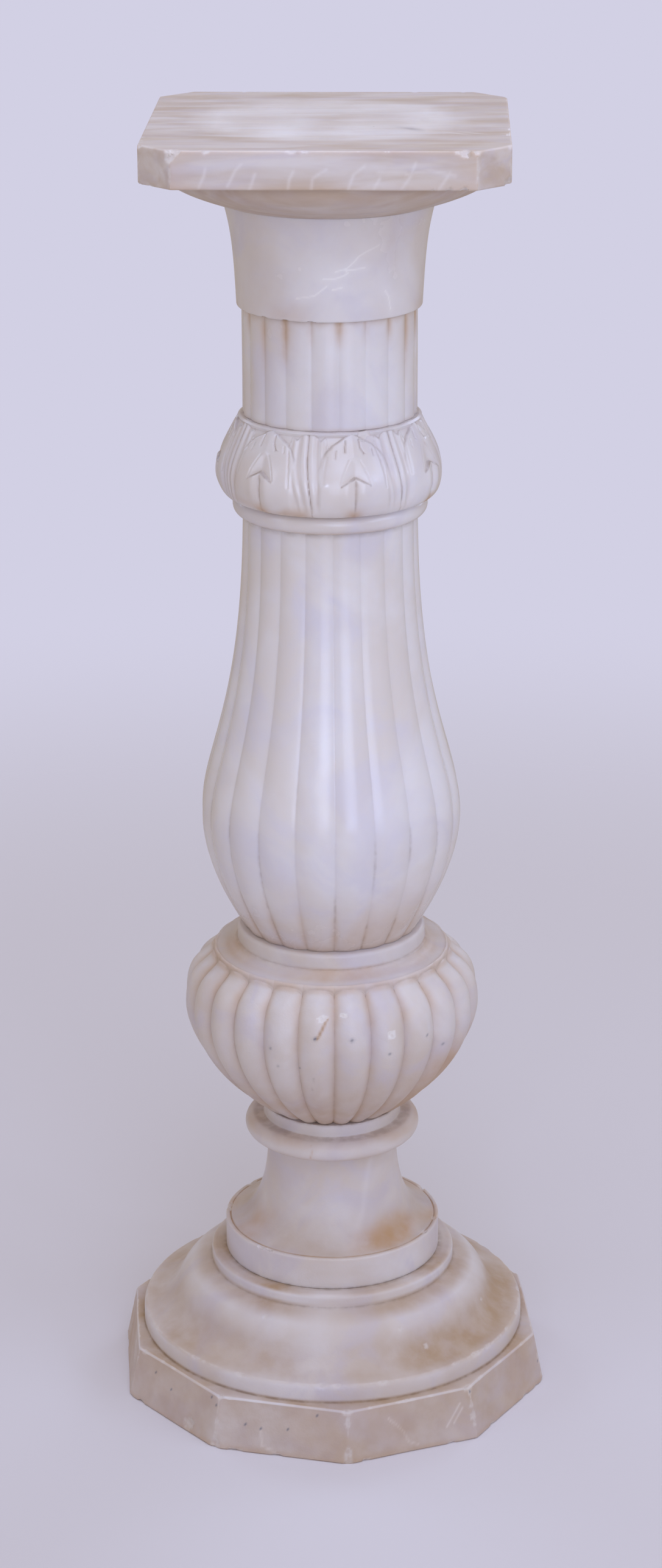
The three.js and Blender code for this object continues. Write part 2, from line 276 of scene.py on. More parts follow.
def spot_on(points, turn, height):
    """The grid point nearest to a turn and a height."""
    radius = np.hypot(points[..., 0], points[..., 1])
    away = np.radians(wrapped(np.degrees(np.arctan2(points[..., 0], -points[..., 1])) - turn, 360)) * radius
    place = np.argmin(np.hypot(away, points[..., 2] - height))
    return points.reshape(-1, 3)[place]


def stroke(points, path, width):
    """How strongly each point lies under a line drawn through the path: 1 on it, fading over its width."""
    nearest = np.full(points.shape[:-1], np.inf)
    for start, end in zip(path[:-1], path[1:]):
        span = end - start
        share = np.clip(((points - start) @ span) / max(span @ span, 1e-9), 0, 1)
        nearest = np.minimum(nearest, np.linalg.norm(points - start - share[..., None] * span, axis=-1))
    return np.exp(-((nearest / width) ** 2))


def knocked(points, chips, seed):
    """The points with chips knocked off, and how freshly each point is broken.

    A chip is its place, the direction out of the stone there, its depth and its reach.
    """
    points = points.copy()
    fresh = np.zeros(points.shape[:-1])
    rough = drift(points, 3, seed)
    for centre, outward, depth, reach in chips:
        offset = points - centre
        share = np.linalg.norm(offset, axis=-1) / reach
        near = share < 1
        bowl = depth * (1 - share[near] ** 2)
        cut = np.clip(offset[near] @ outward + bowl * (1 + 0.3 * rough[near]), 0, None)
        points[near] -= cut[:, None] * outward
        fresh[near] = np.maximum(fresh[near], np.clip(2.5 * cut / depth, 0, 1))
    return points, fresh


def outward_from_axis(points, rise):
    """The direction away from the axis at each point, tilted up by rise degrees."""
    flat = points * [1, 1, 0]
    flat = flat / np.linalg.norm(flat, axis=-1, keepdims=True)
    return math.cos(math.radians(rise)) * flat + math.sin(math.radians(rise)) * np.array([0, 0, 1])


def edge_chips(path, outward, count, depths, seed):
    """Small chips scattered along an edge."""
    rng = np.random.default_rng(seed)
    chips = []
    for place in rng.integers(0, len(path), count):
        depth = depths[0] + (depths[1] - depths[0]) * rng.random() ** 3
        chips.append((path[place], outward[place], depth, 4 * depth + 1.5 + 2 * rng.random()))
    return chips


def stone_object(name, points, marks):
    """A closed mesh object over a grid of rings, in metres, with its marks as point attributes."""
    rings, columns = points.shape[:2]
    ends = [points[0].mean(axis=0), points[-1].mean(axis=0)]
    vertices = np.vstack([points.reshape(-1, 3), ends]) / 1000
    index = np.arange(rings * columns).reshape(rings, columns)
    right = np.roll(index, -1, axis=1)
    walls = np.stack([index[:-1], right[:-1], right[1:], index[1:]], axis=-1).reshape(-1, 4).tolist()
    foot = np.column_stack([np.full(columns, rings * columns), right[0], index[0]]).tolist()
    top = np.column_stack([np.full(columns, rings * columns + 1), index[-1], right[-1]]).tolist()
    mesh = bpy.data.meshes.new(name)
    mesh.from_pydata(vertices.tolist(), [], walls + foot + top)
    for mark, values in marks.items():
        layer = mesh.attributes.new(mark, "FLOAT", "POINT")
        layer.data.foreach_set("value", np.append(values.ravel(), [0, 0]).astype(np.float32))
    mesh.update()
    piece = bpy.data.objects.new(name, mesh)
    bpy.context.scene.collection.objects.link(piece)
    return piece


def settle(piece, node):
    """Shades a finished piece, puts it on the frame in its solid's place and hides that solid."""
    mesh = piece.data
    mesh.shade_smooth()
    mesh.set_sharp_from_angle(angle=math.radians(CRISP_EDGE))
    if mesh.validate():
        raise RuntimeError(f"{piece.name} has faulty faces")
    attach(piece, "root")
    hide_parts(node)


# Node trees


def add(tree, kind, settings=(), inputs=(), output=0):
    """Adds a node with its settings and its inputs, values or other sockets, and gives one of its outputs."""
    node = tree.nodes.new(kind)
    for name, value in dict(settings).items():
        setattr(node, name, value)
    for key, value in dict(inputs).items():
        if isinstance(value, bpy.types.NodeSocket):
            tree.links.new(value, node.inputs[key])
        else:
            node.inputs[key].default_value = value
    return node.outputs[output] if node.outputs else None


SMOOTHED = {"interpolation_type": "SMOOTHSTEP"}
COLOURS = {"data_type": "RGBA"}
TIMES = {"operation": "MULTIPLY"}
TIMES_PLUS = {"operation": "MULTIPLY_ADD"}
LARGER = {"operation": "MAXIMUM"}


def lobe_tree():
    """Geometry nodes that carve convex lobes into a turned form.

    Each point moves towards the axis by the square of its distance from the lobe's crest. The point attribute
    relief says how much of the depth is cut there.
    """
    name = "Convex lobes"
    if name in bpy.data.node_groups:
        return bpy.data.node_groups[name]
    tree = bpy.data.node_groups.new(name, "GeometryNodeTree")
    tree.is_modifier = True
    face = tree.interface
    face.new_socket("Geometry", in_out="INPUT", socket_type="NodeSocketGeometry")
    face.new_socket("Lobes", in_out="INPUT", socket_type="NodeSocketInt")
    face.new_socket("Valley turn", in_out="INPUT", socket_type="NodeSocketFloat")
    face.new_socket("Depth", in_out="INPUT", socket_type="NodeSocketFloat")
    face.new_socket("Depth share", in_out="INPUT", socket_type="NodeSocketFloat")
    face.new_socket("Material", in_out="INPUT", socket_type="NodeSocketMaterial")
    face.new_socket("Geometry", in_out="OUTPUT", socket_type="NodeSocketGeometry")
    given = add(tree, "NodeGroupInput").node.outputs
    xyz = add(tree, "ShaderNodeSeparateXYZ", inputs={0: add(tree, "GeometryNodeInputPosition")}).node.outputs

    # Where the point lies across its lobe, from -1 in one valley to 1 in the next
    behind = add(tree, "ShaderNodeMath", TIMES, {0: xyz["Y"], 1: -1.0})
    turn = add(tree, "ShaderNodeMath", {"operation": "ARCTAN2"}, {0: xyz["X"], 1: behind})
    turn = add(tree, "ShaderNodeMath", {"operation": "SUBTRACT"}, {0: turn, 1: given["Valley turn"]})
    turn = add(tree, "ShaderNodeMath", TIMES, {0: turn, 1: given["Lobes"]})
    lobe = add(tree, "ShaderNodeMath", {"operation": "DIVIDE"}, {0: turn, 1: 2 * math.pi})
    share = add(tree, "ShaderNodeMath", {"operation": "FRACT"}, {0: lobe})
    across = add(tree, "ShaderNodeMath", TIMES_PLUS, {0: share, 1: 2.0, 2: -1.0})

    # How far it moves in towards the axis
    flat = add(tree, "ShaderNodeCombineXYZ", inputs={"X": xyz["X"], "Y": xyz["Y"]})
    radius = add(tree, "ShaderNodeVectorMath", {"operation": "LENGTH"}, {0: flat}, "Value")
    depth = add(tree, "ShaderNodeMath", TIMES_PLUS, {0: radius, 1: given["Depth share"], 2: given["Depth"]})
    relief = add(tree, "GeometryNodeInputNamedAttribute", {"data_type": "FLOAT"}, {"Name": "relief"})
    depth = add(tree, "ShaderNodeMath", TIMES, {0: depth, 1: relief})
    cut = add(tree, "ShaderNodeMath", TIMES, {0: across, 1: across})
    cut = add(tree, "ShaderNodeMath", TIMES, {0: cut, 1: depth})
    inwards = add(tree, "ShaderNodeMath", TIMES, {0: cut, 1: -1.0})
    outward = add(tree, "ShaderNodeVectorMath", {"operation": "NORMALIZE"}, {0: flat})
    offset = add(tree, "ShaderNodeVectorMath", {"operation": "SCALE"}, {0: outward, "Scale": inwards})
    carved = add(tree, "GeometryNodeSetPosition", inputs={"Geometry": given["Geometry"], "Offset": offset})
    whole = add(tree, "GeometryNodeRealizeInstances", inputs={0: carved})
    stone = {"Geometry": whole, "Material": given["Material"]}
    add(tree, "NodeGroupOutput", inputs={0: add(tree, "GeometryNodeSetMaterial", inputs=stone)})
    return tree


def carve_lobes(piece, **inputs):
    """Runs the lobe tree over a piece and keeps the result as its plain mesh."""
    tree = lobe_tree()
    modifier = piece.modifiers.new("Lobes", "NODES")
    modifier.node_group = tree
    for item in tree.interface.items_tree:
        if item.in_out == "INPUT" and item.name in inputs:
            modifier[item.identifier] = inputs[item.name]
    view = bpy.context.evaluated_depsgraph_get()
    mesh = bpy.data.meshes.new_from_object(piece.evaluated_get(view), depsgraph=view)
    piece.modifiers.clear()
    plain = piece.data
    piece.data = mesh
    bpy.data.meshes.remove(plain)
    mesh.name = piece.name
    mesh.attributes.remove(mesh.attributes["relief"])


# Materials


def per_mm(size):
    """The scale of a noise whose swells are about size millimetres wide, over coordinates in metres."""
    return 1000 / size


# How each mark is broken up: the noise's swells in millimetres, the noise values where it starts and ends,
# and its least and greatest strength there
MARK_BREAKS = {
    "vein": (8, 0.3, 0.5, 0.85, 1.0),
    "stain": (22, 0.25, 0.7, 0.5, 1.0),
    "dust": (16, 0.3, 0.7, 0.7, 1.0),
    "grime": (7, 0.3, 0.66, 0.15, 0.8),
    "bruise": (3, 0.3, 0.6, 0.4, 1.0),
    "spot": (3, 0.2, 0.4, 0.8, 1.0),
}


def alabaster(name, roughness, grit, cloud, streak, haze, film):
    """Alabaster: a soft, fine-grained gypsum that lets light in, so its edges glow and its shadows are pale.

    roughness and grit give the polish, cloud the size of its clouds in millimetres, streak how far they are
    drawn out sideways, haze the depth of the cloudy colours and film the share of old dirt over the stone.
    """
    if name in bpy.data.materials:
        return bpy.data.materials[name]
    finish = bpy.context.scene.pedestal_finish
    material = bpy.data.materials.new(name)
    material.use_nodes = True
    tree = material.node_tree
    tree.nodes.clear()
    place = add(tree, "ShaderNodeTexCoord", output="Object")
    drawn = add(tree, "ShaderNodeMapping", inputs={"Vector": place, "Scale": (1 / streak, 1, 1)})
    colour = (*finish.pale, 1)

    # Cream and lilac-grey clouds, and a film of old dirt that is thicker in patches
    for tone, size, distortion, low, high, least, most in (
        (finish.warm, cloud, 0.6, 0.36, 0.66, 0.0, haze),
        (finish.cool, 0.55 * cloud, 0.9, 0.42, 0.7, 0.0, haze),
        (finish.dust, 0.7 * cloud, 0.5, 0.3, 0.7, 0.6 * film, 1.4 * film),
    ):
        swell = {"Vector": drawn, "Scale": per_mm(size), "Detail": 4.0, "Distortion": distortion}
        noise = add(tree, "ShaderNodeTexNoise", inputs=swell)
        share = add(tree, "ShaderNodeMapRange", SMOOTHED, {0: noise, 1: low, 2: high, 3: least, 4: most})
        colour = add(tree, "ShaderNodeMix", COLOURS, {0: share, 6: colour, 7: (*tone, 1)}, 2)

    # What the mesh carries: veins and a painted glow, stains, dust and painted shade, grime, chips and spots,
    # each a little broken up
    marked = {}
    for kind, (size, low, high, least, most) in MARK_BREAKS.items():
        mark = add(tree, "ShaderNodeAttribute", {"attribute_name": kind}, output="Fac")
        swell = {"Vector": place, "Scale": per_mm(size), "Detail": 4.0}
        noise = add(tree, "ShaderNodeTexNoise", inputs=swell)
        broken = add(tree, "ShaderNodeMapRange", SMOOTHED, {0: noise, 1: low, 2: high, 3: least, 4: most})
        marked[kind] = add(tree, "ShaderNodeMath", TIMES, {0: mark, 1: broken})
        tone = (*getattr(finish, kind), 1)
        colour = add(tree, "ShaderNodeMix", COLOURS, {0: marked[kind], 6: colour, 7: tone}, 2)

    # A few dark specks in the stone
    cells = add(tree, "ShaderNodeTexVoronoi", inputs={"Vector": place, "Scale": per_mm(17)}).node.outputs
    dot = add(tree, "ShaderNodeMapRange", SMOOTHED, {0: cells["Distance"], 1: 0.02, 2: 0.045, 3: 1.0, 4: 0.0})
    chosen = add(tree, "ShaderNodeSeparateColor", inputs={0: cells["Color"]})
    rare = add(tree, "ShaderNodeMapRange", SMOOTHED, {0: chosen, 1: 0.965, 2: 0.975, 3: 0.0, 4: 0.6})
    speck = add(tree, "ShaderNodeMath", TIMES, {0: dot, 1: rare})
    colour = add(tree, "ShaderNodeMix", COLOURS, {0: speck, 6: colour, 7: (*finish.spot, 1)}, 2)

    # Dull where it is dusty or painted shaded, dirty or broken
    dull = add(tree, "ShaderNodeMath", LARGER, {0: marked["dust"], 1: marked["grime"]})
    dull = add(tree, "ShaderNodeMath", LARGER, {0: dull, 1: marked["bruise"]})
    noise = add(tree, "ShaderNodeTexNoise", inputs={"Vector": place, "Scale": per_mm(35), "Detail": 4.0})
    limits = {0: noise, 1: 0.3, 2: 0.7, 3: roughness - 0.05, 4: roughness + 0.08}
    polish = add(tree, "ShaderNodeMapRange", SMOOTHED, limits)
    rough = add(tree, "ShaderNodeMath", {**TIMES_PLUS, "use_clamp": True}, {0: dull, 1: 0.35, 2: polish})
    swell = add(tree, "ShaderNodeTexNoise", inputs={"Vector": place, "Scale": per_mm(9), "Detail": 3.0})
    grain = add(tree, "ShaderNodeTexNoise", inputs={"Vector": place, "Scale": per_mm(1.6), "Detail": 2.0})
    height = add(tree, "ShaderNodeMath", TIMES_PLUS, {0: swell, 1: 2.0, 2: grain})
    worn = add(tree, "ShaderNodeBump", inputs={"Strength": grit, "Distance": 0.0004, "Height": height})

    stone = {
        "Base Color": colour,
        "Roughness": rough,
        "Normal": worn,
        "IOR": 1.52,
        "Subsurface Weight": finish.translucency,
        "Subsurface Radius": (1.0, 0.82, 0.66),
        "Subsurface Scale": 0.006,
    }
    surface = add(tree, "ShaderNodeBsdfPrincipled", {"subsurface_method": "RANDOM_WALK"}, stone)
    add(tree, "ShaderNodeOutputMaterial", inputs={"Surface": surface})
    return material


def worn_alabaster():
    # Turned and scraped stone whose polish has gone: soft broad highlights, dust and dirt that stay
    return alabaster("alabaster_worn", 0.42, 0.35, 90, 1.0, 0.8, 0.18)


def polished_alabaster():
    # Rubbed with fine grit and waxed: sharp highlights over a milky depth
    return alabaster("alabaster_polished", 0.16, 0.1, 120, 1.0, 0.65, 0.0)


def veined_alabaster():
    # Sawn across its bedding and honed: streaks run along the slab, and it stays half glossy
    return alabaster("alabaster_veined", 0.36, 0.08, 26, 4.5, 0.7, 0.42)


# Pieces


def slab_outline(half, corner, per_side, per_cut):
    """Points around a square with its corners cut, from the front's left end to the right."""
    side = np.column_stack([np.linspace(-corner, corner, per_side, endpoint=False), np.full(per_side, -half)])
    cut = np.linspace((corner, -half), (half, -corner), per_cut, endpoint=False)
    quarter = np.vstack([side, cut])
    turns = [(1, 0), (0, 1), (-1, 0), (0, -1)]
    return np.vstack([quarter @ np.array([[c, s], [-s, c]]) for c, s in turns])


class PEDESTAL_OT_top_slab(bpy.types.Operator):
    """Build the square slab with its cut corners and the dish under it"""

    bl_idname = "pedestal.top_slab"
    bl_label = "Top slab"

    def execute(self, context):
        sizes = context.scene.pedestal_capital
        half = 500 * sizes.slab_side
        cut = 1000 * sizes.slab_corner_cut
        underside = COLUMN_TOP - 1000 * sizes.slab_thickness
        dish_radius = 1000 * sizes.dish_radius
        worn = 1.4
        per_side = 188
        per_cut = 34
        # How far a corner moves along a side for each millimetre that the outline is set in
        mitre = 0.414

        def outline(inset):
            return slab_outline(half - inset, half - cut - mitre * inset, per_side, per_cut)

        rim = outline(0)
        away = rim / np.linalg.norm(rim, axis=1, keepdims=True)
        rings = []
        for radius, height in sweep(22, (84, BELL_TOP), ((122, 1012), (132, 1018)), (dish_radius, underside)):
            rings.append(np.column_stack([radius * away, np.full(len(away), height)]))
        foot = arc(4, (worn, underside + worn), worn, -90, -180)
        head = arc(4, (worn, COLUMN_TOP - worn), worn, 180, 90)
        side = straight(15, foot[-1], head[0])
        for inset, height in joined([(4, underside)], foot, side, head, [(3.5, COLUMN_TOP), (8, COLUMN_TOP)]):
            rings.append(np.column_stack([outline(inset), np.full(len(away), height)]))
        for share in (0.9, 0.8, 0.7, 0.62, 0.54, 0.46, 0.36, 0.26, 0.16, 0.07):
            rings.append(np.column_stack([share * rim, np.full(len(away), COLUMN_TOP)]))
        local = np.stack(rings)

        # Chips along the top and bottom edges and on the corners
        top_edge = np.column_stack([rim, np.full(len(rim), COLUMN_TOP)])
        foot_edge = np.column_stack([rim, np.full(len(rim), underside)])
        chips = edge_chips(top_edge, outward_from_axis(top_edge, 45), 60, (0.25, 0.9), 11)
        chips += edge_chips(foot_edge, outward_from_axis(foot_edge, -45), 20, (0.25, 0.8), 12)
        for x, y, z, depth, reach in (
            (-112, -137.5, 1060, 2.8, 9),
            (-104, -137.5, 1060, 1.2, 9),
            (-112, -137.5, 1052, 1.0, 6),
            (-22, -137.5, 1060, 1.4, 6),
            (-13, -137.5, 1060, 1.1, 5),
            (112, -137.5, 1060, 2.2, 7),
            (98, -137.5, 1060, 1.6, 9),
            (137.5, -112, 1060, 2.2, 8),
            (137.5, -60, 1060, 1.8, 10),
            (137.5, -38, 1060, 1.3, 7),
            (137.5, -112, 1036, 1.4, 8),
            (-137.5, -112, 1060, 1.6, 7),
            (-137.5, -112, 1031, 1.6, 7),
            (-128, -121, 1031, 1.3, 6),
        ):
            centre = np.array([x, y, z], float)
            rise = 38 if z > 1050 else -38
            chips.append((centre, outward_from_axis(centre, rise), depth, reach))
        heights = range(1034, 1057)
        for corner in range(8):
            place = rim[(corner // 2) * (per_side + per_cut) + (corner % 2) * per_side]
            edge = np.array([[*place, h] for h in heights], float)
            outward = np.repeat(outward_from_axis(np.array([[*place, 0]]), 0), len(heights), axis=0)
            chips += edge_chips(edge, outward, 4, (0.25, 0.7), 20 + corner)
        local, fresh = knocked(local, chips, 13)

        marks = {name: np.zeros(local.shape[:2]) for name in MARKS}
        x, y, z = np.moveaxis(local, -1, 0)
        radius = np.hypot(x, y)
        onto_side = np.max(np.abs(local[..., :2]), axis=-1) > half - 0.6
        marks["bruise"] = np.clip(fresh, 0, 1) * 0.6
        # The middle of the top is paler where the stone below it is thick: a painted glow, laid with the vein
        # colour.
        thick_middle_glow = smooth(radius, 112, 84) * (z > COLUMN_TOP - 0.5) * (0.42 + 0.12 * drift(local, 30, 14))
        marks["vein"] = np.clip(thick_middle_glow, 0, 1)
        for path in (
            ((-91, 1033), (-87, 1042), (-86, 1047)),
            ((-54, 1031), (-50, 1043)),
            ((-70, 1034), (-64, 1046), (-60, 1050)),
            ((-26, 1031), (-25, 1039), (-22, 1045)),
            ((-9, 1031), (-8, 1040), (-2, 1044), (2, 1046)),
            ((18, 1032), (22, 1043), (30, 1049)),
            ((36, 1031), (41, 1040)),
            ((56, 1031), (63, 1041), (67, 1051)),
            ((84, 1032), (92, 1044)),
            ((60, 1043), (78, 1046), (96, 1042)),
            ((40, 1044), (60, 1044)),
        ):
            line = np.array([(px, -half, pz) for px, pz in path], float)
            marks["vein"] = np.maximum(marks["vein"], 0.26 * onto_side * stroke(local, line, 1.2))
        scuffs = stroke(local, np.array([(88, -60, COLUMN_TOP), (118, -58, COLUMN_TOP)], float), 1.4)
        marks["vein"] = np.maximum(marks["vein"], 0.5 * scuffs)
        spot = np.array([60, -40, COLUMN_TOP], float)
        marks["spot"] = 0.5 * np.exp(-((np.linalg.norm(local - spot, axis=-1) / 6) ** 2))
        marks["grime"] = 0.4 * smooth(z, BELL_TOP + 1.2, BELL_TOP)
        edge_glow = smooth(np.abs(x), 84, 130) + 0.5 * smooth(np.abs(z - 1046), 8, 14)
        marks["stain"] = 0.4 * onto_side * np.clip(edge_glow, 0, 1)
        # Painted shade: the whole dish under the slab is darkened with the dust colour
        marks["dust"] = 0.3 * smooth(z, underside + 1, underside - 1)
        cosine = math.cos(sizes.slab_turn)
        sine = math.sin(sizes.slab_turn)
        spin = np.array([[cosine, sine, 0], [-sine, cosine, 0], [0, 0, 1]])
        piece = stone_object("square_top", local @ spin, marks)
        piece.data.materials.append(veined_alabaster())
        settle(piece, "top_slab")
        return {"FINISHED"}


class PEDESTAL_OT_capital_bell(bpy.types.Operator):
    """Build the plain bell under the slab, with its white cracks"""

    bl_idname = "pedestal.capital_bell"
    bl_label = "Capital bell"

    def execute(self, context):
        sizes = context.scene.pedestal_capital
        foot = 1000 * sizes.bell_foot
        top = 1000 * sizes.bell_top
        rounding = 1.8
        profile = joined(
            [(foot - 6, NECK_TOP)],
            arc(5, (foot - rounding, NECK_TOP + rounding), rounding, -90, 0),
            sweep(70, (foot, NECK_TOP + rounding), ((74.3, 955), (75, 975)), (top, BELL_TOP - 0.6)),
            [(top - 0.6, BELL_TOP)],
        )
        bell = Turning(profile, np.arange(0, 360, 0.9))
        points = bell.points()
        bell.radius += 0.25 * drift(points, 60, 31)
        rim = np.array([spot_on(points, t, NECK_TOP) for t in range(0, 360, 2)])
        chips = edge_chips(rim, outward_from_axis(rim, -45), 26, (0.4, 1.1), 32)
        points, fresh = knocked(bell.points(), chips, 33)
        bell.mark("bruise", 0.5 * fresh)
        for path in (
            ((-4, 952.5), (3, 952.8), (8, 954.5), (10.5, 957.5), (9, 959.3), (13, 959.6), (21, 961)),
            ((3.5, 958.5), (10, 960.5), (14, 966), (17, 970), (22, 973.5), (29, 977.5)),
            ((2, 944.5), (7, 945.2)),
            ((-20, 937), (-9, 940), (-2, 947)),
            ((40, 926), (38, 935), (35, 941)),
            ((128, 940), (140, 951), (148, 965), (150, 982)),
            ((221, 930), (226, 944), (240, 951), (252, 966)),
        ):
            line = np.array([spot_on(points, t, h) for t, h in path])
            bell.mark("vein", 0.95 * stroke(points, line, 0.75))
            bell.mark("vein", 0.22 * stroke(points, line, 5))
        bell.mark("grime", 0.4 * smooth(bell.height, BELL_TOP - 1, BELL_TOP))
        uneven = drift(points, 40, 34)
        bell.mark("stain", 0.3 * smooth(bell.height, 940, NECK_TOP) * smooth(uneven, -0.3, 0.8))
        bell.mark("dust", np.clip(0.13 + 0.07 * uneven, 0, 1))
        piece = stone_object("bell", points, bell.marks)
        piece.data.materials.append(polished_alabaster())
        settle(piece, "capital_bell")
        return {"FINISHED"}


class PEDESTAL_OT_reeded_neck(bpy.types.Operator):
    """Build the straight neck with its low convex reeds"""

    bl_idname = "pedestal.reeded_neck"
    bl_label = "Reeded neck"

    def execute(self, context):
        sizes = context.scene.pedestal_capital
        radius = 1000 * sizes.neck_radius
        valley = math.degrees(sizes.neck_valley)
        profile = joined(
            [(radius - 0.6, COLLAR_TOP)],
            straight(56, (radius, COLLAR_TOP + 0.6), (radius, NECK_TOP - 0.3)),
            [(radius - 0.3, NECK_TOP)],
        )
        neck = Turning(profile, lobe_turns(sizes.neck_reeds, valley, REED_SHARES))
        points = neck.points()
        neck.radius += 0.12 * drift(points, 45, 41)
        # Tan dirt has run down from the joint under the bell, mostly in the valleys.
        step = 360 / sizes.neck_reeds
        from_valley = np.abs(wrapped(neck.turn - valley, step)) / step
        uneven = 0.6 + 0.4 * drift(points, 24, 42)
        run = smooth(neck.height, NECK_TOP - 20 - 9 * uneven, NECK_TOP)
        neck.mark("stain", 0.7 * run * np.exp(-((from_valley / 0.16) ** 2)) * np.clip(uneven, 0.2, 1))
        neck.mark("stain", 0.3 * smooth(neck.height, NECK_TOP - 9, NECK_TOP))
        for turn, reach, strength in (
            (-30, 45, 0.8),
            (-48, 60, 0.4),
            (6, 26, 0.9),
            (60, 70, 0.5),
            (78, 34, 0.9),
            (186, 40, 0.7),
        ):
            beside = np.abs(wrapped(neck.turn - turn, 360))
            fall = smooth(neck.height, NECK_TOP - reach, NECK_TOP)
            across = np.exp(-((beside / 2.4) ** 2)) + 0.4 * np.exp(-((beside / 8) ** 2))
            neck.mark("stain", strength * fall * across)
        neck.mark("dust", np.clip(0.06 + 0.08 * drift(points, 50, 43), 0, 1))
        line = np.exp(-((from_valley / 0.03) ** 2))
        neck.mark("grime", line * (0.02 + 0.2 * run * np.clip(uneven, 0, 1)))
        neck.mark("grime", 0.45 * smooth(neck.height, NECK_TOP - 1.2, NECK_TOP))
        neck.mark("grime", 0.4 * smooth(neck.height, COLLAR_TOP + 0.9, COLLAR_TOP))
        neck.mark("stain", 0.3 * smooth(neck.height, COLLAR_TOP + 4, COLLAR_TOP))
        neck.marks["relief"] = np.ones(neck.radius.shape)
        piece = stone_object("reeded_band", neck.points(), neck.marks)
        carve_lobes(
            piece,
            **{"Lobes": sizes.neck_reeds, "Valley turn": sizes.neck_valley, "Depth": sizes.neck_depth},
            **{"Depth share": 0.0, "Material": polished_alabaster()},
        )
        settle(piece, "reeded_neck")
        return {"FINISHED"}


# A broad leaf's outline: half its width in degrees at each height
LEAF_HEIGHTS = (768, 780, 795, 807, 813.5, 817, 819.6, 822, 823.7, 826, 828, 829.5, 831, 831.6)
LEAF_HALF_WIDTHS = (20.5, 19.5, 19, 19, 17.9, 16.6, 15.2, 13.2, 12.1, 8.8, 6.2, 4.2, 1.5, 0)
# The hollow face above its lobes: half its width in degrees at each height
FACE_HEIGHTS = (794, 798, 801, 805, 809, 812, 814, 820, 827)
FACE_HALF_WIDTHS = (8.0, 7.5, 7.0, 6.3, 4.7, 3.3, 2.7, 2.3, 2.2)
# A narrow ribbed leaf's three-pointed top: its height at each turn from its middle
RIB_TURNS = (0, 3.4, 4.8, 7.1, 7.8, 10, 10.7, 11.3, 12.6, 14.5, 30)
RIB_TOPS = (831.3, 831, 830.2, 826.8, 827, 829.2, 828, 823.8, 818, 806, 790)


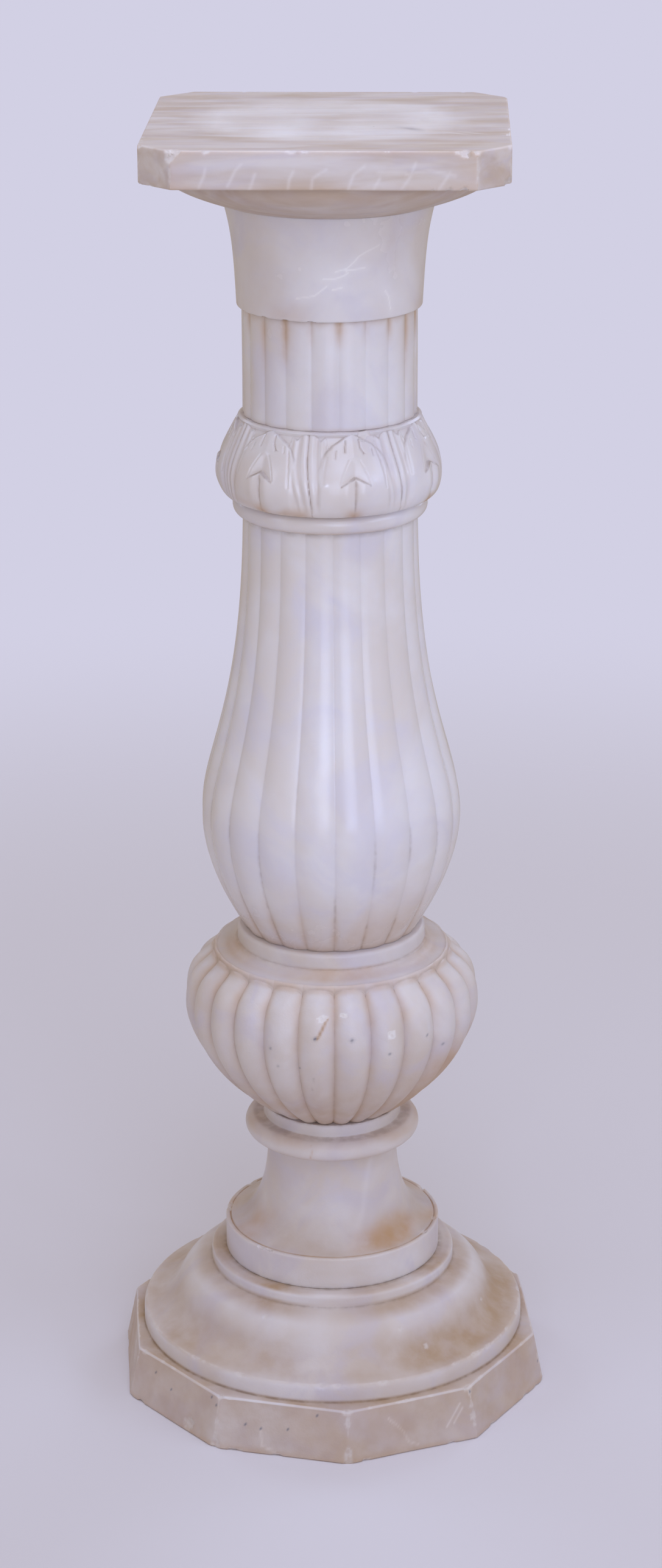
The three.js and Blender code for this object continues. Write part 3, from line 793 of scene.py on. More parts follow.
def leaf_carving(collar, sizes):
    """The radii of a collar of broad leaves with ribbed leaves between them, and its thin cuts."""
    step = 360 / sizes.leaves
    first = math.degrees(sizes.leaf_turn)
    ledge = 1000 * sizes.ledge_depth
    rng = np.random.default_rng(51)
    height = collar.height
    base = collar.radius
    number = np.floor((collar.turn - first) / step + 0.5).astype(int) % sizes.leaves
    lean = rng.uniform(-0.8, 0.8, sizes.leaves)[number] * (height - 768) / 64
    width = rng.uniform(0.975, 1.02, sizes.leaves)[number]
    lift = rng.uniform(-1.2, 1.2, sizes.leaves)[number]
    from_leaf = wrapped(collar.turn - first, step) - lean
    across = np.abs(from_leaf)
    swell = smooth(height, 768, 782)
    calm = 1 - smooth(height, 803, 832)

    # The ground above the leaves slopes up to the rim.
    ground = base - 2.4 * np.clip((831.5 - height) / 2.5, 0, 1) * swell

    # A narrow leaf: a thin line down its middle and rounded ribs beside it
    from_rib = wrapped(collar.turn - first - step / 2, step)
    side = np.floor((collar.turn - first) / step).astype(int) % sizes.leaves
    sway = np.array([0.4, -0.5, 0.2, 0.9, -0.7, 0.5, 1.0])[np.arange(sizes.leaves) % 7][side]
    from_rib = from_rib - sway * 3.4 * smooth(height, 822, 770)
    gather = 1 - 0.3 * smooth(height, 815, 772)
    spread = np.abs(from_rib) / gather
    middle = np.exp(-((spread / 0.5) ** 2))
    ribs = 1.2 * np.exp(-(((spread - 5.4) / 1.9) ** 2)) + 0.9 * np.exp(-(((spread - 10.2) / 1.4) ** 2))
    ribs -= 0.8 * np.exp(-(((spread - 2.6) / 1.3) ** 2)) + 0.6 * np.exp(-(((spread - 7.9) / 1.2) ** 2))
    sunk = 1.1 + 0.9 * calm
    narrow = base - swell * (sunk + 1.2 * middle + ribs * (0.95 - 0.3 * calm))
    rib_edge = np.interp(np.abs(from_rib), RIB_TURNS, RIB_TOPS) - height
    inside = np.clip(rib_edge / 0.6, 0, 1)
    form = ground + inside * np.maximum(narrow - ground, -1.2)

    # A broad leaf: rounded towards its edges, two lobes below a ledge and a hollow face above it
    half = np.interp(height, LEAF_HEIGHTS, LEAF_HALF_WIDTHS) * width
    share = np.clip(across / np.maximum(half, 0.1), 0, 1)
    broad = base - swell * (0.3 + 1.1 * calm) * share**4
    ledge_line = 801 + lift - 0.8 * across
    face = np.interp(height - lift, FACE_HEIGHTS, FACE_HALF_WIDTHS)
    above = np.clip((height - ledge_line) / 0.7, 0, 1)
    rise = np.clip((height - ledge_line) / (816 + lift - ledge_line), 0, 1)
    dished = np.clip(1.25 * (1 - across / face), 0, 1) ** 0.8
    broad = broad - above * ledge * (1 - rise) ** 1.15 * dished
    below = 1 - above
    groove = 1000 * sizes.groove_depth * smooth(height, 800 + lift, 794)
    groove = groove * (0.5 + 0.5 * smooth(height, 770, 778))
    split = 0.55 * np.exp(-((across / 0.6) ** 2)) + 0.45 * np.exp(-((across / 2.2) ** 2))
    broad = broad - below * swell * groove * split
    broad = broad + below * swell * 0.9 * np.exp(-(((across - 4.6) / 2.6) ** 2)) * smooth(height, 770, 790)
    broad = broad + 0.5 * np.exp(-((across / 1.9) ** 2)) * smooth(height, 811, 817) * smooth(height, 831, 826)

    def nick(path, width, depth):
        """A short cut along a path of turns and heights on every broad leaf."""
        nearest = np.full(from_leaf.shape, np.inf)
        # Millimetres in a degree at the leaves' radius of about 80
        scale = math.radians(1) * 80
        for (turn, rise), (next_turn, next_rise) in zip(path[:-1], path[1:]):
            run_x = (next_turn - turn) * scale
            run_z = next_rise - rise
            x = (from_leaf - turn) * scale
            z = height - lift - rise
            t = np.clip((x * run_x + z * run_z) / (run_x * run_x + run_z * run_z), 0, 1)
            nearest = np.minimum(nearest, np.hypot(x - t * run_x, z - t * run_z))
        return depth * np.exp(-((nearest / width) ** 2))

    # Eyes beside the rib, small cuts at the shoulders, a sickle-shaped facet along each margin
    # and a fine line down each side of the hollow face
    for path, wide, deep in (
        (((-4.3, 827.2), (-4.9, 823), (-5.0, 819.5)), 0.7, 1.3),
        (((3.6, 827.6), (3.9, 822), (5.8, 817.8)), 0.7, 1.4),
        (((5.8, 817.8), (7.6, 817.4)), 0.5, 0.6),
        (((-10.2, 820.5), (-10.8, 815)), 0.6, 0.8),
        (((11, 821), (11.4, 816.5)), 0.6, 0.9),
        (((13.6, 821), (15, 813), (16.2, 802), (16.6, 792)), 0.8, 0.9),
        (((-15.2, 816), (-16.4, 806), (-16.8, 797)), 0.8, 0.5),
        (((-2.7, 814), (-4.7, 809), (-6.6, 803), (-7.9, 796)), 0.5, 0.45),
        (((2.7, 814), (4.7, 809), (6.6, 803), (7.9, 796)), 0.5, 0.55),
    ):
        broad = broad - nick(path, wide, deep)
    over = np.clip((half - across) / (0.55 + 1.6 * calm), 0, 1) * (height < 831.8)

    # The thin cuts that hold dirt: under the face, between the lobes, down the narrow leaf and at the tips
    split_line = 0.6 * np.exp(-((across / 0.55) ** 2)) * smooth(height, 801 + lift, 798)
    under_face = np.exp(-(((height - ledge_line) / 0.7) ** 2)) * (across < face)
    outline = np.exp(-(((across - half) / 0.6) ** 2)) * smooth(height, 800, 816) * (height < 831.6)
    tips = np.exp(-((rib_edge / 0.6) ** 2)) * (1 - over) * smooth(height, 800, 816)
    cuts = over * np.maximum(under_face, split_line) + 0.7 * (1 - over) * inside * middle
    cuts = np.maximum(cuts, 0.55 * np.maximum(outline, tips))
    return form + over * (broad - form), cuts


class PEDESTAL_OT_leaf_collar(bpy.types.Operator):
    """Build the bead and the ring of carved leaves"""

    bl_idname = "pedestal.leaf_collar"
    bl_label = "Leaf collar"

    def execute(self, context):
        sizes = context.scene.pedestal_shaft
        bead = 1000 * sizes.bead_radius
        lower = sweep(28, (79, 768), ((85, 769), (89.5, 778)), (89.5, 788))
        upper = sweep(88, (89.5, 788), ((89.5, 803), (79, 816)), (72, 831.5))
        rounded = arc(18, (bead - 8, 760), 8, -88, 62)
        profile = joined(
            [(bead - 9, SHAFT_TOP)],
            rounded,
            straight(3, rounded[-1], lower[0])[1:-1],
            lower,
            upper,
            straight(3, upper[-1], (69.6, COLLAR_TOP)),
        )
        collar = Turning(profile, np.arange(644) * 360 / 644)
        on_leaves = smooth(collar.height, 766.5, 769)
        carved, cuts = leaf_carving(collar, sizes)
        collar.radius = collar.radius + on_leaves * (carved - collar.radius)
        points = collar.points()
        collar.radius += 0.1 * drift(points, 26, 52)
        collar.mark("grime", 0.3 * on_leaves * smooth(collar.hollows(2, 1.2), 0.2, 0.85))
        collar.mark("grime", 0.75 * on_leaves * cuts)
        collar.mark("grime", 0.35 * smooth(collar.height, COLLAR_TOP - 0.6, COLLAR_TOP))
        collar.mark("grime", 0.5 * smooth(np.abs(collar.height - 767.6), 1.0, 0.1))
        collar.mark("grime", 0.5 * smooth(collar.height, SHAFT_TOP + 0.8, SHAFT_TOP))
        collar.mark("stain", 0.5 * smooth(collar.height, SHAFT_TOP + 4, SHAFT_TOP))
        collar.mark("dust", np.clip(0.07 + 0.06 * drift(points, 40, 55), 0, 1))
        # Ochre stain at the leaves' feet and in the grooves between their lobes
        step = 360 / sizes.leaves
        across = np.abs(wrapped(collar.turn - math.degrees(sizes.leaf_turn), step))
        foot = smooth(collar.height, 781, 769) * smooth(collar.height, 766, 768.5)
        patchy = smooth(drift(points, 20, 53), -0.3, 0.9)
        collar.mark("stain", foot * (np.exp(-((across / 4) ** 2)) + 0.6 * patchy))
        in_groove = np.exp(-((across / 3.5) ** 2)) * smooth(collar.height, 797, 776)
        collar.mark("stain", 0.5 * in_groove * on_leaves * patchy)
        collar.mark("stain", 0.35 * on_leaves * collar.hollows(5, 2.2))
        chip = spot_on(points, 21.5, 829.5)
        places, fresh = knocked(collar.points(), [(chip, outward_from_axis(chip, 30), 0.9, 5)], 54)
        collar.mark("bruise", 0.6 * fresh)
        piece = stone_object("leaf_band", places, collar.marks)
        piece.data.materials.append(polished_alabaster())
        settle(piece, "leaf_collar")
        return {"FINISHED"}


class PEDESTAL_OT_pear_shaft(bpy.types.Operator):
    """Build the pear-shaped shaft with its convex reeds"""

    bl_idname = "pedestal.pear_shaft"
    bl_label = "Pear shaft"

    def execute(self, context):
        sizes = context.scene.pedestal_shaft
        valley = math.degrees(sizes.valley)
        profile = joined(
            [(70.3, BOWL_TOP)],
            sweep(54, (71.5, BOWL_TOP + 1), ((90, 434), (105.4, 470)), (105.4, 502)),
            sweep(112, (105.4, 502), ((105.4, 554), (71.3, 584)), (69.4, SHAFT_TOP)),
        )
        shaft = Turning(profile, lobe_turns(sizes.reeds, valley, REED_SHARES))
        points = shaft.points()
        shaft.radius += 0.2 * drift(points, 70, 61)
        step = 360 / sizes.reeds
        from_valley = np.abs(wrapped(shaft.turn - valley, step)) / step
        line = np.exp(-((from_valley / 0.035) ** 2))
        patchy = smooth(drift(points, 30, 62), 0.1, 0.9)
        belly = smooth(shaft.height, 590, 480)
        shaft.mark("grime", line * (0.04 + 0.3 * patchy * belly + 0.15 * smooth(shaft.height, 430, BOWL_TOP)))
        shaft.mark("grime", 0.55 * smooth(shaft.height, BOWL_TOP + 1.2, BOWL_TOP))
        shaft.mark("stain", 0.4 * smooth(shaft.height, BOWL_TOP + 12, BOWL_TOP))
        # Painted shade: the underside of the pear's belly is darkened with the dust colour
        shaft.mark("dust", 0.32 * smooth(shaft.height, 480, 410))
        shaft.mark("grime", 0.35 * smooth(shaft.height, SHAFT_TOP - 1, SHAFT_TOP))
        shaft.mark("stain", 0.5 * np.exp(-((from_valley / 0.12) ** 2)) * smooth(shaft.height, 470, BOWL_TOP))
        shaft.mark("stain", 0.22 * smooth(shaft.height, 500, 420) * smooth(drift(points, 50, 63), 0, 0.9))
        shaft.marks["relief"] = 1 - 0.2 * smooth(shaft.height, 690, SHAFT_TOP)
        piece = stone_object("pear", shaft.points(), shaft.marks)
        carve_lobes(
            piece,
            **{"Lobes": sizes.reeds, "Valley turn": sizes.valley, "Depth": 0.0},
            **{"Depth share": sizes.reed_share, "Material": polished_alabaster()},
        )
        settle(piece, "pear_shaft")
        return {"FINISHED"}


class PEDESTAL_OT_gadrooned_bowl(bpy.types.Operator):
    """Build the bowl with its gadroons, hollow moulding and collar ring"""

    bl_idname = "pedestal.gadrooned_bowl"
    bl_label = "Gadrooned bowl"

    def execute(self, context):
        sizes = context.scene.pedestal_foot
        valley = math.degrees(sizes.gadroon_valley)
        lobes = joined(
            sweep(76, (55, STEM_TOP), ((111, 281), (121.1, 323)), (121.1, 337)),
            sweep(52, (121.1, 337), ((121.1, 373), (104, 369.5)), (98.5, 381.5)),
        )
        lip = np.array([(97.4, 382.2), (96.9, 382.4), (96.7, 382.8), (96.6, 383.4), (96.2, 384.2)])
        moulding = joined(
            [(95.6, 384.7), (94.6, 384.9)],
            sweep(12, (94.2, 384.6), ((90, 384.2), (80.5, 385.5)), (78.6, 391.2)),
            [(77.2, 391.6)],
            straight(6, (77, 392), (77, BOWL_TOP - 3)),
            arc(5, (74, BOWL_TOP - 3), 3, 0, 90),
            [(70, BOWL_TOP)],
        )
        bowl = Turning(joined(lobes, lip, moulding), lobe_turns(sizes.gadroons, valley, GADROON_SHARES))
        step = 360 / sizes.gadroons
        across = 2 * ((bowl.turn - valley) / step % 1) - 1
        # Each gadroon ends in a round arch, so the rings near the lip dip towards the valleys.
        dip = 1000 * sizes.gadroon_arch * (1 - np.sqrt(np.clip(1 - across**2, 0, 1)))
        rows = np.arange(len(bowl.height))[:, None]
        on_lobes = rows < len(lobes)
        past_lobes = np.clip((len(lobes) + 6 - rows) / 6, 0, 1)
        reach = np.where(on_lobes, smooth(bowl.height, 352, 381.5), past_lobes)
        bowl.height = bowl.height - reach * dip
        lobed = np.interp(bowl.height, lobes[:, 1], lobes[:, 0])
        bowl.radius = np.where(on_lobes, lobed, bowl.radius)
        relief = np.where(on_lobes, 1 - 0.25 * smooth(bowl.height, 366, 381), 0)
        relief = relief + np.where(on_lobes, 0.3 * smooth(bowl.height, 272, STEM_TOP), 0)
        bowl.marks["relief"] = relief
        points = bowl.points()
        bowl.radius += 0.2 * drift(points, 50, 71)

        # Tan dirt lies around the gadroons' tops, in their valleys and in the hollow moulding.
        from_valley = (1 - np.abs(across)) / 2
        line = np.exp(-((from_valley / 0.045) ** 2)) * on_lobes
        broad = np.exp(-((from_valley / 0.14) ** 2)) * on_lobes
        patchy = 0.5 + 0.5 * drift(points, 40, 72)
        bowl.mark("grime", line * (0.04 + 0.1 * patchy + 0.6 * smooth(bowl.height, 254, STEM_TOP)))
        rim = np.abs(rows - len(lobes) - 1.5)
        bowl.mark("grime", 0.32 * np.clip(1 - rim / 3, 0, 1) * (0.5 + 0.5 * patchy))
        bowl.mark("stain", 0.55 * smooth(rim, 9, 2) * (0.5 + 0.5 * patchy))
        at_ends = 0.35 * smooth(bowl.height, 345, 380) + 0.35 * smooth(bowl.height, 300, 250)
        bowl.mark("stain", broad * (0.25 + at_ends))
        in_hollow = smooth(bowl.height, 384, 386) * smooth(bowl.height, 394, 391)
        bowl.mark("stain", 0.55 * in_hollow * np.clip(0.3 + patchy, 0, 1) * (rows > len(lobes) + 4))
        bowl.mark("grime", 0.22 * smooth(np.abs(bowl.height - 391.4), 0.9, 0.1) * (rows > len(lobes) + 8))
        bowl.mark("grime", 0.55 * smooth(bowl.height, STEM_TOP + 1.8, STEM_TOP))
        # Painted shade: the gadroons below the belly, facing down, are darkened with the dust colour
        bowl.mark("dust", 0.5 * smooth(bowl.height, 330, 262) * on_lobes)
        blots = smooth(drift(points, 46, 73), -0.2, 0.9)
        bowl.mark("stain", 0.5 * smooth(bowl.height, 300, STEM_TOP) * blots)
        to_right = smooth(np.cos(np.radians(bowl.turn - 75)), 0.72, 0.98)
        bowl.mark("stain", 0.75 * to_right * smooth(bowl.height, 335, 290))

        # Chips, a scratch and grey-blue spots on the front
        places = bowl.points()
        chips = []
        for turn, height, depth, size in ((-3.2, 365.5, 0.9, 4.2), (4.7, 367.2, 0.5, 3), (23.4, 348, 0.5, 4)):
            centre = spot_on(places, turn, height)
            chips.append((centre, outward_from_axis(centre, 12), depth, size))
        for turn, height, size, strength in (
            (-6.0, 349, 1.3, 1.0),
            (8.1, 348.2, 1.5, 0.7),
            (22.3, 332.7, 1.2, 0.6),
            (39.8, 341.3, 1.1, 0.6),
            (50.1, 325.4, 1.2, 0.6),
            (-23.8, 336.8, 1.3, 0.5),
            (-21.3, 321.7, 1.2, 0.35),
            (-13.2, 320, 0.8, 0.7),
        ):
            away = np.linalg.norm(places - spot_on(places, turn, height), axis=-1)
            bowl.mark("spot", strength * np.exp(-((away / size) ** 2)))
        scratch = np.array([spot_on(places, t, h) for t, h in ((-1.8, 364), (-3.6, 357), (-5.3, 350))])
        bowl.mark("stain", stroke(places, scratch, 1.2))
        bowl.mark("grime", 0.45 * stroke(places, scratch, 0.8))
        scuff = np.array([spot_on(places, t, h) for t, h in ((-7.3, 313.5), (-8.6, 299))])
        bowl.mark("grime", 0.25 * stroke(places, scuff, 0.7))
        places, fresh = knocked(places, chips, 74)
        bowl.mark("bruise", fresh)
        bowl.mark("vein", fresh)
        piece = stone_object("gadroon_bowl", places, bowl.marks)
        carve_lobes(
            piece,
            **{"Lobes": sizes.gadroons, "Valley turn": sizes.gadroon_valley, "Depth": 0.0},
            **{"Depth share": sizes.gadroon_share, "Material": worn_alabaster()},
        )
        settle(piece, "gadrooned_bowl")
        return {"FINISHED"}


class PEDESTAL_OT_turned_stem(bpy.types.Operator):
    """Build the stem: a foot disc, a hollow neck, a torus and a fillet"""

    bl_idname = "pedestal.turned_stem"
    bl_label = "Turned stem"

    def execute(self, context):
        sizes = context.scene.pedestal_foot
        disc = 1000 * sizes.disc_radius
        neck = 1000 * sizes.stem_neck
        profile = joined(
            [(disc - 4, BASE_TOP), (disc - 0.5, BASE_TOP)],
            straight(16, (disc, BASE_TOP + 0.5), (disc, 136.6)),
            arc(5, (disc - 1.8, 136.6), 1.8, 0, 90),
            [(87.2, 138.4), (86.6, 138.0), (86.2, 137.6), (85.8, 138.0), (85.2, 138.5)],
            sweep(74, (84.8, 138.5), ((66, 141), (neck, 166)), (neck, 211)),
            sweep(5, (neck, 211), ((neck, 214), (54.2, 216)), (55.4, 217)),
            arc(34, (63.9, 224.5), 8.5, -138, 84),
            sweep(4, (63.6, 233.1), ((60, 233.3), (57, 233.2)), (57, 234.4)),
            straight(6, (57, 234.4), (57, STEM_TOP - 0.4)),
            [(56.6, STEM_TOP), (50, STEM_TOP)],
        )
        stem = Turning(profile, np.arange(0, 360, 1.2))
        points = stem.points()
        stem.radius += 0.2 * drift(points, 60, 81)
        floor = smooth(stem.height, 168, 142) * smooth(stem.height, 137, 139)
        blots = smooth(drift(points, 34, 82), -0.35, 0.8)
        to_right = smooth(np.cos(np.radians(stem.turn - 62)), 0.35, 0.95)
        to_left = smooth(np.cos(np.radians(stem.turn + 68)), 0.3, 0.9)
        behind = smooth(np.cos(np.radians(stem.turn - 180)), 0.1, 0.8)
        stem.mark("stain", floor * blots * (0.12 + 0.8 * to_right + 0.55 * to_left + 0.4 * behind))
        stem.mark("dust", 0.35 * floor * (1 - blots))
        incised = smooth(np.abs(stem.radius - 86.2), 1.1, 0.2) * (stem.height < 139)
        stem.mark("stain", 0.9 * incised)
        stem.mark("grime", 0.35 * incised)
        shoulder = smooth(stem.height, 224, 232) * (stem.height < 234)
        stem.mark("stain", 0.42 * shoulder * np.clip(0.6 + 0.5 * drift(points, 28, 83), 0, 1))
        stem.mark("stain", 0.3 * smooth(np.abs(stem.height - 216.6), 4, 0.5))
        stem.mark("grime", 0.45 * smooth(np.abs(stem.height - 216.4), 1.4, 0.2))
        stem.mark("grime", 0.4 * smooth(np.abs(stem.height - 233.4), 0.9, 0.1))
        stem.mark("grime", 0.8 * smooth(stem.height, BASE_TOP + 1.2, BASE_TOP))
        stem.mark("grime", 0.5 * smooth(stem.height, STEM_TOP - 1.2, STEM_TOP))
        places = stem.points()
        crack = np.array([spot_on(places, t, h) for t, h in ((-15, 231), (-13, 226), (-14, 221), (-16, 218))])
        stem.mark("stain", 0.5 * stroke(places, crack, 0.9))
        path = ((36, 205), (30, 185), (25, 165), (18, 150), (12, 142))
        vein = np.array([spot_on(places, t, h) for t, h in path])
        stem.mark("vein", 0.16 * stroke(places, vein, 3))
        edge = np.array([spot_on(places, t, 137.9) for t in range(0, 360, 2)])
        chips = edge_chips(edge, outward_from_axis(edge, 45), 14, (0.25, 0.6), 84)
        places, fresh = knocked(places, chips, 85)
        stem.mark("bruise", 0.5 * fresh)
        stem.mark("bruise", 0.3 * smooth(np.abs(stem.height - 137.6), 1.2, 0.2) * (stem.radius > 88))
        piece = stone_object("stem", places, stem.marks)
        piece.data.materials.append(worn_alabaster())
        settle(piece, "turned_stem")
        return {"FINISHED"}


class PEDESTAL_OT_moulded_base(bpy.types.Operator):
    """Build the many-sided plinth with its lip, ogee and ring"""

    bl_idname = "pedestal.moulded_base"
    bl_label = "Moulded base"

    def execute(self, context):
        sizes = context.scene.pedestal_foot
        foot = 1000 * sizes.plinth_foot
        top = 1000 * sizes.plinth_top
        height = 1000 * sizes.plinth_height
        lip = 1000 * sizes.lip_radius
        corner = math.degrees(sizes.plinth_corner)
        plinth = joined(
            [(foot - 1.2, 0)],
            straight(20, (foot, 1.2), (top, height - 2.4)),
            arc(5, (top - 2.4, height - 2.4), 2.4, 8, 90),
        )
        shelf = straight(8, (top - 3, height), (lip + 1, height))
        swell = joined(
            [(lip + 0.3, height + 0.2)],
            straight(6, (lip, height + 0.9), (lip, height + 8)),
            sweep(7, (lip, height + 9), ((lip, 58), (159.6, 60)), (157.4, 60.2)),
            sweep(28, (157, 60.2), ((146, 62), (136, 67)), (131, 77)),
            sweep(26, (131, 77), ((126, 88), (117, 97)), (103, 99.5)),
            [(102.3, 100)],
            straight(5, (102, 101), (102, BASE_TOP - 3.5)),
            arc(6, (98.5, BASE_TOP - 3.5), 3.5, 0, 90),
            straight(4, (98, BASE_TOP), (84, BASE_TOP)),
        )
        # Columns crowd towards the plinth's corners, so that they stay crisp.
        step = 360 / sizes.plinth_sides
        between = np.linspace(0.02, 0.98, 65)
        shares = np.concatenate([[0, 0.003, 0.007, 0.012], between, [0.988, 0.993, 0.997]])
        base = Turning(joined(plinth, shelf, swell), lobe_turns(sizes.plinth_sides, corner, shares))
        rows = np.arange(len(base.height))[:, None]
        from_corner = np.abs(wrapped(base.turn - corner, step))
        flat = math.cos(math.radians(step / 2)) / np.cos(np.radians(step / 2 - from_corner))
        flat = np.minimum(flat, 0.998)
        sided = np.where(rows < len(plinth), 1, np.clip(1 - (rows - len(plinth)) / 8, 0, 1))
        base.radius = base.radius * (1 + sided * (flat - 1))
        on_plinth = rows < len(plinth) + 1
        points = base.points()
        base.radius += (0.15 + 0.25 * on_plinth) * drift(points, 45, 91)

        # Dust and dirt on the ledges, thicker to the sides than at the front. The share on the left side is
        # painted shade, and the plinth's sides are darkened as painted shade too
        points = base.points()
        uneven = drift(points, 38, 92)
        to_right = smooth(np.cos(np.radians(base.turn - 66)), 0.55, 0.97)
        to_left = smooth(np.cos(np.radians(base.turn + 58)), 0.5, 0.97)
        behind = smooth(np.cos(np.radians(base.turn - 180)), 0.0, 0.7)
        # Dust to the right and behind, and painted shade on the left
        dust_sides_and_left_shade = np.maximum(np.maximum(to_right, 0.5 * to_left), 0.6 * behind)
        on_shelf = (rows >= len(plinth) - 2) * smooth(base.height, height + 3, height + 0.5)
        from_lip = np.clip((base.radius - lip) / 14, 0, 1)
        base.mark("dust", on_shelf * (0.5 + 0.45 * (1 - from_lip)) * np.clip(0.8 + 0.3 * uneven, 0, 1))
        base.mark("grime", 0.7 * smooth(np.hypot(base.radius - lip, base.height - height), 1.8, 0.3))
        in_hollow = smooth(base.height, 57, 62) * smooth(base.height, 96, 66)
        base.mark("dust", in_hollow * np.clip(0.22 + 0.2 * uneven + 0.75 * dust_sides_and_left_shade, 0, 0.85))
        near_ring = smooth(base.height, 91, 99) * smooth(base.height, 104, 100)
        base.mark("dust", near_ring * np.clip(0.36 + 0.2 * uneven + 0.4 * dust_sides_and_left_shade, 0, 0.8))
        base.mark("grime", 0.5 * smooth(np.abs(base.height - 100.1), 1.1, 0.1))
        on_ring = smooth(base.height, BASE_TOP - 2.5, BASE_TOP - 0.2)
        base.mark("dust", on_ring * np.clip(0.55 + 0.3 * uneven, 0, 1))
        base.mark("grime", 0.8 * on_ring * smooth(base.radius, 91.8, 90.4))
        base.mark("stain", 0.5 * on_plinth * smooth(base.height, 7, 0))
        base.mark("stain", 0.22 * on_plinth * smooth(uneven, 0, 0.9))
        # Painted shade: the plinth's sides are darkened all round with the dust colour
        side = on_plinth * (base.height < height - 2)
        base.mark("dust", side * (0.44 + 0.14 * smooth(drift(points, 40, 93), -0.5, 1.0)))

        # White chips on the lip, the plinth's top edge and its corners
        def ring(turns, place):
            return np.array([spot_on(points, t, place) for t in turns])

        around = np.arange(0, 360, 1.5)
        lip_edge = ring(around, 59.6)
        top_edge = ring(around, height - 0.8)
        foot_edge = ring(around, 0.6)
        chips = edge_chips(lip_edge, outward_from_axis(lip_edge, 45), 44, (0.25, 0.9), 94)
        chips += edge_chips(top_edge, outward_from_axis(top_edge, 45), 46, (0.2, 0.8), 95)
        chips += edge_chips(foot_edge, outward_from_axis(foot_edge, -30), 26, (0.4, 1.4), 96)
        for number in range(sizes.plinth_sides):
            turn = corner + step * number
            edge = np.array([spot_on(points, turn, h) for h in range(2, 44, 2)])
            chips += edge_chips(edge, outward_from_axis(edge, 8), 3, (0.2, 0.5), 100 + number)
        for turn, place, depth, size in (
            (corner, 42, 1.6, 6),
            (corner, 12, 0.9, 6),
            (corner, 3, 1.6, 6),
            (corner + step, 41, 1.6, 6),
            (corner + step, 22, 1.0, 5),
            (corner - step, 43, 1.2, 5),
            (corner - step, 5, 2.2, 8),
            (-43, 9, 1.6, 7),
            (-3, 59.6, 1.5, 6),
            (1.1, 59.6, 1.1, 4),
            (-28.6, 59.6, 1.0, 5),
            (48, 59.6, 1.1, 8),
            (54, 59.6, 1.1, 6),
        ):
            centre = spot_on(points, turn, place)
            rise = 45 if place > 38 else 0
            chips.append((centre, outward_from_axis(centre, rise), depth, size))
        for turn, place in ((26, 85.8), (-28.2, 93.2), (71.9, 74.5), (34.4, 69.6), (150, 84), (230, 80)):
            centre = spot_on(points, turn, place)
            chips.append((centre, outward_from_axis(centre, 50), 0.7, 2.6))
        places, fresh = knocked(points, chips, 97)
        base.mark("bruise", 0.55 * fresh)
        patches = smooth(drift(points, 9, 98), -0.6, 0.6)
        worn_corner = on_plinth * np.exp(-((from_corner / 0.16) ** 2)) * patches
        base.mark("bruise", 0.4 * worn_corner * (base.height > 1))
        worn_top = on_plinth * smooth(np.abs(base.height - height + 0.9), 1.5, 0.2)
        base.mark("bruise", 0.28 * worn_top * smooth(drift(points, 12, 99), -0.5, 0.7))
        worn_lip = smooth(np.abs(base.height - 59.4), 0.9, 0.1) * smooth(drift(points, 14, 90), -0.3, 0.8)
        base.mark("bruise", 0.5 * worn_lip)
        for path in (
            ((15.7, 30.6), (18, 24), (19.6, 18), (20.8, 9.3), (22, 6.5), (23.5, 6)),
            ((-20.2, 20.8), (-19.3, 6.3)),
            ((-19.3, 6.3), (-15.7, 3.4)),
            ((32.1, 15.1), (34, 22), (36.3, 31)),
            ((34.5, 17), (37, 28)),
            ((118, 30), (124, 20), (133, 16)),
            ((205, 12), (212, 26)),
            ((282, 34), (287, 20), (288, 8)),
        ):
            line = np.array([spot_on(points, t, h) for t, h in path])
            base.mark("vein", 0.8 * stroke(points, line, 0.9))
        for turn, place in (
            *((-24.4, 23.8), (-19.8, 22.1), (-4.5, 37.9), (-12.2, 23.7), (-52.2, 25.3), (-59.6, 32.1)),
            *((-35, 38.9), (-33, 36), (40, 40), (75, 20), (110, 33), (170, 18), (215, 30), (264, 22)),
        ):
            away = np.linalg.norm(points - spot_on(points, turn, place), axis=-1)
            base.mark("spot", 0.8 * np.exp(-((away / 0.9) ** 2)))
        piece = stone_object("plinth_and_ogee", places, base.marks)
        piece.data.materials.append(worn_alabaster())
        settle(piece, "moulded_base")
        return {"FINISHED"}


# Soft lights: name, place, what they face, size, spread and power, in metres, degrees and watts
SOFT_LIGHTS = (
    ("high_softbox", (0.35, -1.75, 2.3), (0, 0, 1.0), 1.1, 180, 8.5),
    ("low_softbox", (0.35, -1.9, 0.95), (0, 0, 0.72), 1.2, 60, 1.7),
    ("right_softbox", (2.0, -0.8, 1.7), (0, 0, 0.85), 1.0, 100, 2.4),
    ("overhead_softbox", (0, -0.4, 2.7), (0, 0, 1.06), 1.0, 100, 5.5),
    ("back_softbox", (1.2, 1.6, 1.6), (0, 0, 0.8), 1.0, 100, 2.6),
    ("far_softbox", (-1.5, 1.7, 1.7), (0, 0, 0.8), 1.0, 100, 2.0),
    ("left_softbox", (-2.0, -1.0, 1.5), (0, 0, 0.85), 0.9, 50, 0.45),
    ("left_strip", (-0.6, -2.7, 1.35), (0, 0, 0.75), 0.16, 120, 1.2),
    ("right_strip", (1.9, -1.6, 1.5), (0, 0, 0.75), 0.2, 120, 1.2),
)
# All of them are cool, against the warm light from all round
SOFT_LIGHT_COLOUR = (0.6, 0.7, 1.0)


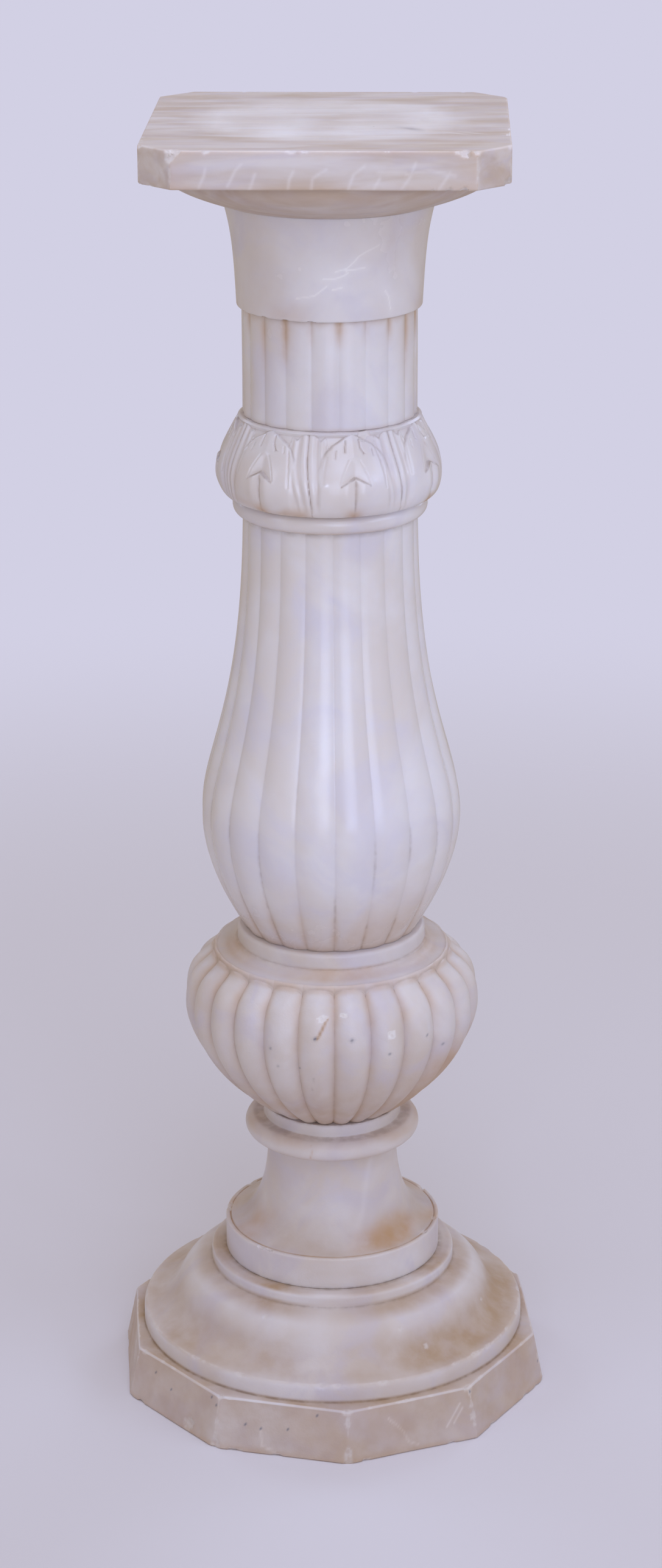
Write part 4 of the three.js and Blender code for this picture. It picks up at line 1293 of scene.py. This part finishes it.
class PEDESTAL_OT_studio(bpy.types.Operator):
    """Set up the floor, the soft light and the camera"""

    bl_idname = "pedestal.studio"
    bl_label = "Studio"

    def execute(self, context):
        scene = context.scene
        studio = scene.pedestal_studio
        scene.view_settings.view_transform = "Standard"

        # A plain matt floor that fades into the surround, so that it has no edge
        reach = 3
        turns = np.linspace(0, 2 * math.pi, 96, endpoint=False)
        rim = [(reach * math.cos(t), reach * math.sin(t), 0) for t in turns]
        mesh = bpy.data.meshes.new("floor")
        mesh.from_pydata(rim, [], [list(range(len(rim)))])
        floor = bpy.data.objects.new("floor", mesh)
        scene.collection.objects.link(floor)
        paint = bpy.data.materials.new("matt_floor")
        paint.use_nodes = True
        tree = paint.node_tree
        tree.nodes.clear()
        place = add(tree, "ShaderNodeTexCoord", output="Object")
        away = add(tree, "ShaderNodeVectorMath", {"operation": "LENGTH"}, {0: place}, "Value")
        fade = add(tree, "ShaderNodeMapRange", SMOOTHED, {0: away, 1: 0.35, 2: 2.2})
        matt = add(tree, "ShaderNodeBsdfDiffuse", inputs={"Color": (*studio.floor, 1)})
        clear = add(tree, "ShaderNodeBsdfTransparent")
        surface = add(tree, "ShaderNodeMixShader", inputs={0: fade, 1: matt, 2: clear})
        add(tree, "ShaderNodeOutputMaterial", inputs={"Surface": surface})
        mesh.materials.append(paint)

        # Light from all round, with a paler surround behind the column, and softboxes
        world = bpy.data.worlds.new("soft_surround")
        world.use_nodes = True
        tree = world.node_tree
        tree.nodes.clear()
        light = {"Color": (*studio.air, 1), "Strength": studio.air_strength}
        lit = add(tree, "ShaderNodeBackground", inputs=light)
        seen = add(tree, "ShaderNodeBackground", inputs={"Color": (*studio.backdrop, 1)})
        direct = add(tree, "ShaderNodeLightPath", output="Is Camera Ray")
        surround = add(tree, "ShaderNodeMixShader", inputs={0: direct, 1: lit, 2: seen})
        add(tree, "ShaderNodeOutputWorld", inputs={"Surface": surround})
        scene.world = world
        for name, place, target, size, spread, power in SOFT_LIGHTS:
            lamp = bpy.data.lights.new(name, "AREA")
            lamp.shape = "SQUARE"
            lamp.size = size
            lamp.spread = math.radians(spread)
            lamp.energy = power
            lamp.color = SOFT_LIGHT_COLOUR
            box = bpy.data.objects.new(name, lamp)
            box.location = place
            box.rotation_euler = (Vector(target) - Vector(place)).to_track_quat("-Z", "Y").to_euler()
            box.visible_camera = False
            scene.collection.objects.link(box)

        # The camera looks down at the column from the front.
        view = bpy.data.cameras.new("camera")
        view.lens = studio.lens
        view.sensor_width = 36
        view.sensor_fit = "AUTO"
        camera = bpy.data.objects.new("camera", view)
        forward = Vector((0, math.cos(studio.pitch), -math.sin(studio.pitch)))
        level = Vector((0, math.sin(studio.pitch), math.cos(studio.pitch)))
        across = Vector((1, 0, 0))
        right = math.cos(studio.roll) * across + math.sin(studio.roll) * level
        up = math.cos(studio.roll) * level - math.sin(studio.roll) * across
        pose = Matrix((right, up, -forward)).transposed().to_4x4()
        pose.translation = (0, -studio.distance, studio.eye_height)
        camera.matrix_world = pose
        scene.collection.objects.link(camera)
        scene.camera = camera
        return {"FINISHED"}


PIECES = (
    PEDESTAL_OT_moulded_base,
    PEDESTAL_OT_turned_stem,
    PEDESTAL_OT_gadrooned_bowl,
    PEDESTAL_OT_pear_shaft,
    PEDESTAL_OT_leaf_collar,
    PEDESTAL_OT_reeded_neck,
    PEDESTAL_OT_capital_bell,
    PEDESTAL_OT_top_slab,
    PEDESTAL_OT_studio,
)

SETTINGS = {
    "pedestal_capital": CapitalSizes,
    "pedestal_shaft": ShaftSizes,
    "pedestal_foot": FootSizes,
    "pedestal_finish": StoneFinish,
    "pedestal_studio": StudioSettings,
}


class PEDESTAL_PT_panel(bpy.types.Panel):
    bl_idname = "PEDESTAL_PT_panel"
    bl_label = "Pedestal column"
    bl_space_type = "VIEW_3D"
    bl_region_type = "UI"
    bl_category = "Pedestal"

    def draw(self, context):
        for piece in PIECES:
            self.layout.operator(piece.bl_idname)
        for name, group in SETTINGS.items():
            box = self.layout.box()
            for prop in group.__annotations__:
                box.prop(getattr(context.scene, name), prop)


def register():
    for group in SETTINGS.values():
        bpy.utils.register_class(group)
    for name, group in SETTINGS.items():
        setattr(bpy.types.Scene, name, PointerProperty(type=group))
    for piece in PIECES:
        bpy.utils.register_class(piece)
    bpy.utils.register_class(PEDESTAL_PT_panel)


def unregister():
    bpy.utils.unregister_class(PEDESTAL_PT_panel)
    for piece in reversed(PIECES):
        bpy.utils.unregister_class(piece)
    for name, group in SETTINGS.items():
        delattr(bpy.types.Scene, name)
        bpy.utils.unregister_class(group)


def main():
    register()
    bpy.ops.pedestal.studio()
    bpy.ops.pedestal.moulded_base()
    bpy.ops.pedestal.turned_stem()
    bpy.ops.pedestal.gadrooned_bowl()
    bpy.ops.pedestal.pear_shaft()
    bpy.ops.pedestal.leaf_collar()
    bpy.ops.pedestal.reeded_neck()
    bpy.ops.pedestal.capital_bell()
    bpy.ops.pedestal.top_slab()


if __name__ == "__main__":
    main()
